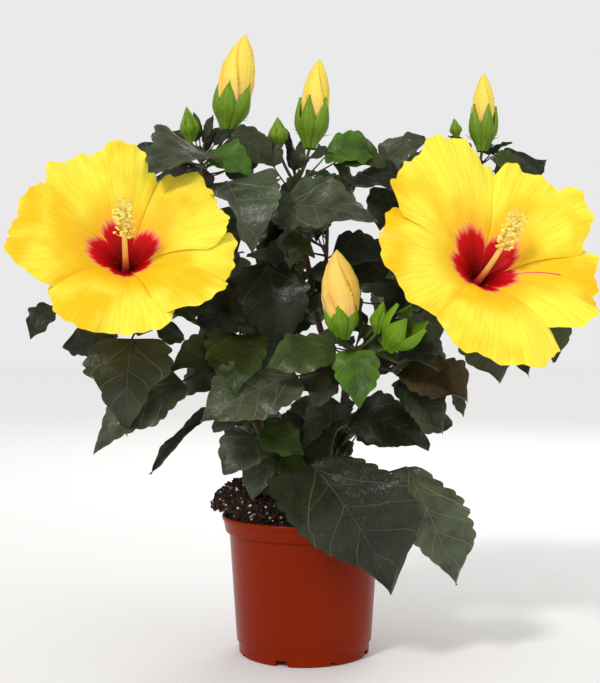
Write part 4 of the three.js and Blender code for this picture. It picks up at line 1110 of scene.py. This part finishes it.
def turnedPiece(name, profile, segments):
    mesh = bpy.data.meshes.new(name)
    points = [(radius * toMetres, 0, height * toMetres) for radius, height in profile]
    mesh.from_pydata(points, [(at, at + 1) for at in range(len(points) - 1)], [])
    piece = newObject(name, mesh)
    choose(piece)
    bpy.ops.object.mode_set(mode="EDIT")
    bpy.ops.mesh.select_all(action="SELECT")
    bpy.ops.mesh.spin(steps=segments, angle=fullTurn, center=(0, 0, 0), axis=(0, 0, 1))
    bpy.ops.mesh.select_all(action="SELECT")
    bpy.ops.mesh.remove_doubles(threshold=0.00002)
    bpy.ops.mesh.normals_make_consistent(inside=False)
    bpy.ops.object.mode_set(mode="OBJECT")
    return piece


pot = turnedPiece("nurseryPot", potProfile(), potShape["segments"])
cutters = []
away = (potShape["foot"] - 4) * toMetres
for quarter in range(4):
    for turn, width, deep in notches:
        angle = math.radians(turn + 90 * quarter)
        bpy.ops.mesh.primitive_cube_add(
            size=1, location=(away * math.cos(angle), away * math.sin(angle), 0), rotation=(0, 0, angle),
            scale=(16 * toMetres, width * toMetres, 2 * deep * toMetres))
        cutters.append(bpy.context.active_object)
        for vertex in cutters[-1].data.vertices:
            vertex.co.y *= 0.8 if vertex.co.z > 0 else 1.25
choose(*cutters)
bpy.ops.object.join()
modifyAndApply(pot, "BOOLEAN", object=cutters[0], operation="DIFFERENCE", solver="EXACT")
bpy.data.objects.remove(cutters[0])
modifyAndApply(pot, "BEVEL", width=potShape["edge"] * toMetres, segments=2, limit_method="ANGLE",
               angle_limit=math.radians(40))


def potMaterial():  # glossy injection-moulded polypropylene: deep red-brown with a faint flow pattern
    finish = Finish("mouldedPolypropylene", "#802a00", 0.28, ior=1.49, Specular_IOR_Level=0.09)
    finish.set(Base_Color=mixed(finish.cloud(60), "#7c1c00", "#862300"))
    return finish.bump(finish.cloud(1.5), 0.06, 0.0001)


pot.data.materials.append(potMaterial())
finishPiece(pot, ["pot"], crease=35)


# Potting soil: fine peat in the pot, heaped at the back left, with loose crumbs and pale grit

soilLook = dict(rings=46, around=120, bump=1.3, crumbs=3000, crumb=(0.6, 2.3), grit=560,
                gritSize=(0.5, 1.5), onHeap=0.7, dome=3, spread=6, slump=13)
sunkBorder = ((0, 98.5), (3.6, 94.5), (4.8, 78))  # inset and height of the rings out of sight
heapX, heapY = soilShape["heap"]
inner = potShape["rim"] - 4.6


def soilHeight(x, y):
    low, ground = soilShape["level"], soilShape["ground"]
    level = low + soilLook["dome"] * (1 - np.clip(np.hypot(x, y) / 60, 0, 1) ** 2)
    mound = ground - 1 - 1.2 * np.clip(np.hypot(x - trunkFoot[0], y - trunkFoot[1]) - 9, 0, None)
    away = np.hypot(x - heapX, y - heapY) / soilShape["heapRadius"]
    heap = low + (soilShape["heapTop"] - low) * np.sqrt(np.clip(1 - away ** 2, 0, 1))
    return np.maximum(np.maximum(level, mound), heap)


def ripples(x, y, z=0.0):
    return (np.sin(0.9 * x + 1.7 * np.sin(0.5 * y)) * np.cos(0.8 * y + z)
            + 0.6 * np.sin(2.1 * x - 1.3 * y) + 0.4 * np.cos(3.1 * y + 2.4 * x))


def heapPoint(polar, turn):  # a ball whose lower half lies in the pot; to the left it slumps over the rim
    low, radius = soilShape["level"], (soilShape["heapRadius"] + soilLook["spread"]) * np.sin(polar)
    x, y = heapX + radius * np.cos(turn), heapY + radius * np.sin(turn)
    height = soilShape["heapTop"] - low + 5
    rise = np.where(np.cos(polar) > 0, height * np.abs(np.cos(polar)) ** 0.7, 8 * np.cos(polar))
    z = low + rise + 1.5 * ripples(x, y, polar)
    away = np.maximum(np.hypot(x, y), 1e-6)
    slump = smooth(0.7, 0.95, -x / away) * (z > potShape["height"] + 5)
    pull = np.minimum(1, (inner - 1 + slump * (potShape["rim"] + soilLook["slump"] - inner)) / away)
    return np.stack((x * pull, y * pull, z), -1)


soilStore = emptyStore()
radius, turn = grid(np.linspace(0.02, 1, soilLook["rings"]) * inner, turnsRound(soilLook["around"]))
x, y = radius * np.cos(turn), radius * np.sin(turn)
z = soilHeight(x, y) + soilLook["bump"] * ripples(x, y) * np.clip((inner - radius) / 4, 0, 1)
border = []
for inset, height in sunkBorder:
    share = 1 - inset / inner
    border.append(np.stack((x[-1] * share, y[-1] * share, np.full_like(x[-1], height)), -1))
top = np.concatenate((np.stack((x, y, z), -1), border))[::-1]
addRings(soilStore, top, ((0, 0, soilShape["level"] - 25), (0, 0, soilHeight(0.0, 0.0))))
ball = heapPoint(*grid(np.linspace(0.04, math.pi - 0.04, 34), turnsRound(72)))
addRings(soilStore, ball[::-1], (ball[-1].mean(0), ball[0].mean(0)))

crumbStore = emptyStore()
crumbRandom = seeded(515)
for number in range(soilLook["crumbs"] + soilLook["grit"]):
    pale = number >= soilLook["crumbs"]
    size = crumbRandom(*soilLook["gritSize" if pale else "crumb"])
    turn = crumbRandom(0, fullTurn)
    share = crumbRandom(0, 1)
    if crumbRandom(0, 1) < soilLook["onHeap"]:
        place = heapPoint(np.arccos(1.05 * share - 0.05), turn) + (0, 0, 0.2 * size)
    else:
        away = (inner - size) * math.sqrt(share)
        x, y = away * math.cos(turn), away * math.sin(turn)
        place = (x, y, soilHeight(x, y) + 0.3 * size + ripples(x, y))
    addLump(crumbStore, place, size, crumbRandom, 2 * pale + int(crumbRandom(0, 1.99)))


def earthMaterial(name, colour, other, roughness, size):  # damp fibrous peat: dull, with a dark mottle
    finish = Finish(name, colour, roughness)
    finish.set(Base_Color=mixed(finish.cloud(size, 6.0), colour, other))
    return finish.bump(finish.cloud(size / 2, 6.0), 0.8, 0.0008)


makePiece("pottingSoil", soilStore, [earthMaterial("dampPeat", "#150b07", "#2c180e", 0.95, 2.5)],
          ["soil"])
makePiece("soilCrumbs", crumbStore, [
    earthMaterial("darkPeatCrumbs", "#170c08", "#2a170d", 0.95, 1.5),
    earthMaterial("brownPeatCrumbs", "#2a170d", "#4a2a14", 0.95, 1.5),
    earthMaterial("barkGrit", "#b08a52", "#dcbc80", 0.8, 1.0),
    earthMaterial("perliteGrit", "#d8d0bc", "#f4efe0", 0.7, 1.0)], ["soil"])


# Floor, light and camera

studio = dict(floor=14.0, floorTone="#f4f3f1", camera=(-0.0032, -0.95, 0.261), pitch=0.93, lens=63.15,
              sky=0.68, gloss=0.25, backdrop=0.82, sun=1.35, sunWidth=9, sunTurn=-34, sunTilt=52,
              middle=(0, 0, 0.24))
panels = (("fillPanel", (1.4, -1.2, 0.7), 0.8, 3), ("backPanel", (0.4, 1.4, 1.3), 0.9, 8))
bpy.ops.mesh.primitive_plane_add(size=studio["floor"], location=(0, 0, 0))
floor = bpy.context.active_object
floor.name = "studioFloor"
floor.data.materials.append(Finish("paintedBoard", studio["floorTone"], 0.85).material)

world = bpy.data.worlds.new("softSky")  # one level for the light, one for reflections, one that shows
world.use_nodes = True
rays = addNode(world.node_tree, "ShaderNodeLightPath").outputs
glossy, seen = (NodeValue(world.node_tree, rays[kind]) for kind in ("Is Glossy Ray", "Is Camera Ray"))
bright = glossy * (studio["gloss"] - studio["sky"]) + studio["sky"]
bright = seen * (studio["backdrop"] - studio["sky"]) + bright
background = world.node_tree.nodes["Background"].inputs
background["Color"].default_value = (1, 1, 1, 1)
world.node_tree.links.new(bright.socket, background["Strength"])
bpy.context.scene.world = world
bpy.context.scene.view_settings.view_transform = "Standard"

sun = bpy.data.lights.new("windowLight", "SUN")
sun.energy = studio["sun"]
sun.angle = math.radians(studio["sunWidth"])
sunTurn = (math.radians(studio["sunTilt"]), 0, math.radians(studio["sunTurn"]))
newObject("windowLight", sun).rotation_euler = sunTurn
for name, place, size, power in panels:
    lamp = bpy.data.lights.new(name, "AREA")
    lamp.size = size
    lamp.energy = power
    holder = newObject(name, lamp)
    holder.location = place
    x, y, z = np.array(studio["middle"]) - place
    holder.rotation_euler = (math.atan2(math.hypot(x, y), -z), 0, math.atan2(y, x) - math.pi / 2)

camera = newObject("frontCamera", bpy.data.cameras.new("frontCamera"))
camera.location = studio["camera"]
camera.rotation_euler = (math.radians(90 - studio["pitch"]), 0, 0)
camera.data.lens = studio["lens"]
camera.data.sensor_width = 36
camera.data.clip_start = 0.01
bpy.context.scene.camera = camera
print("stage is set")
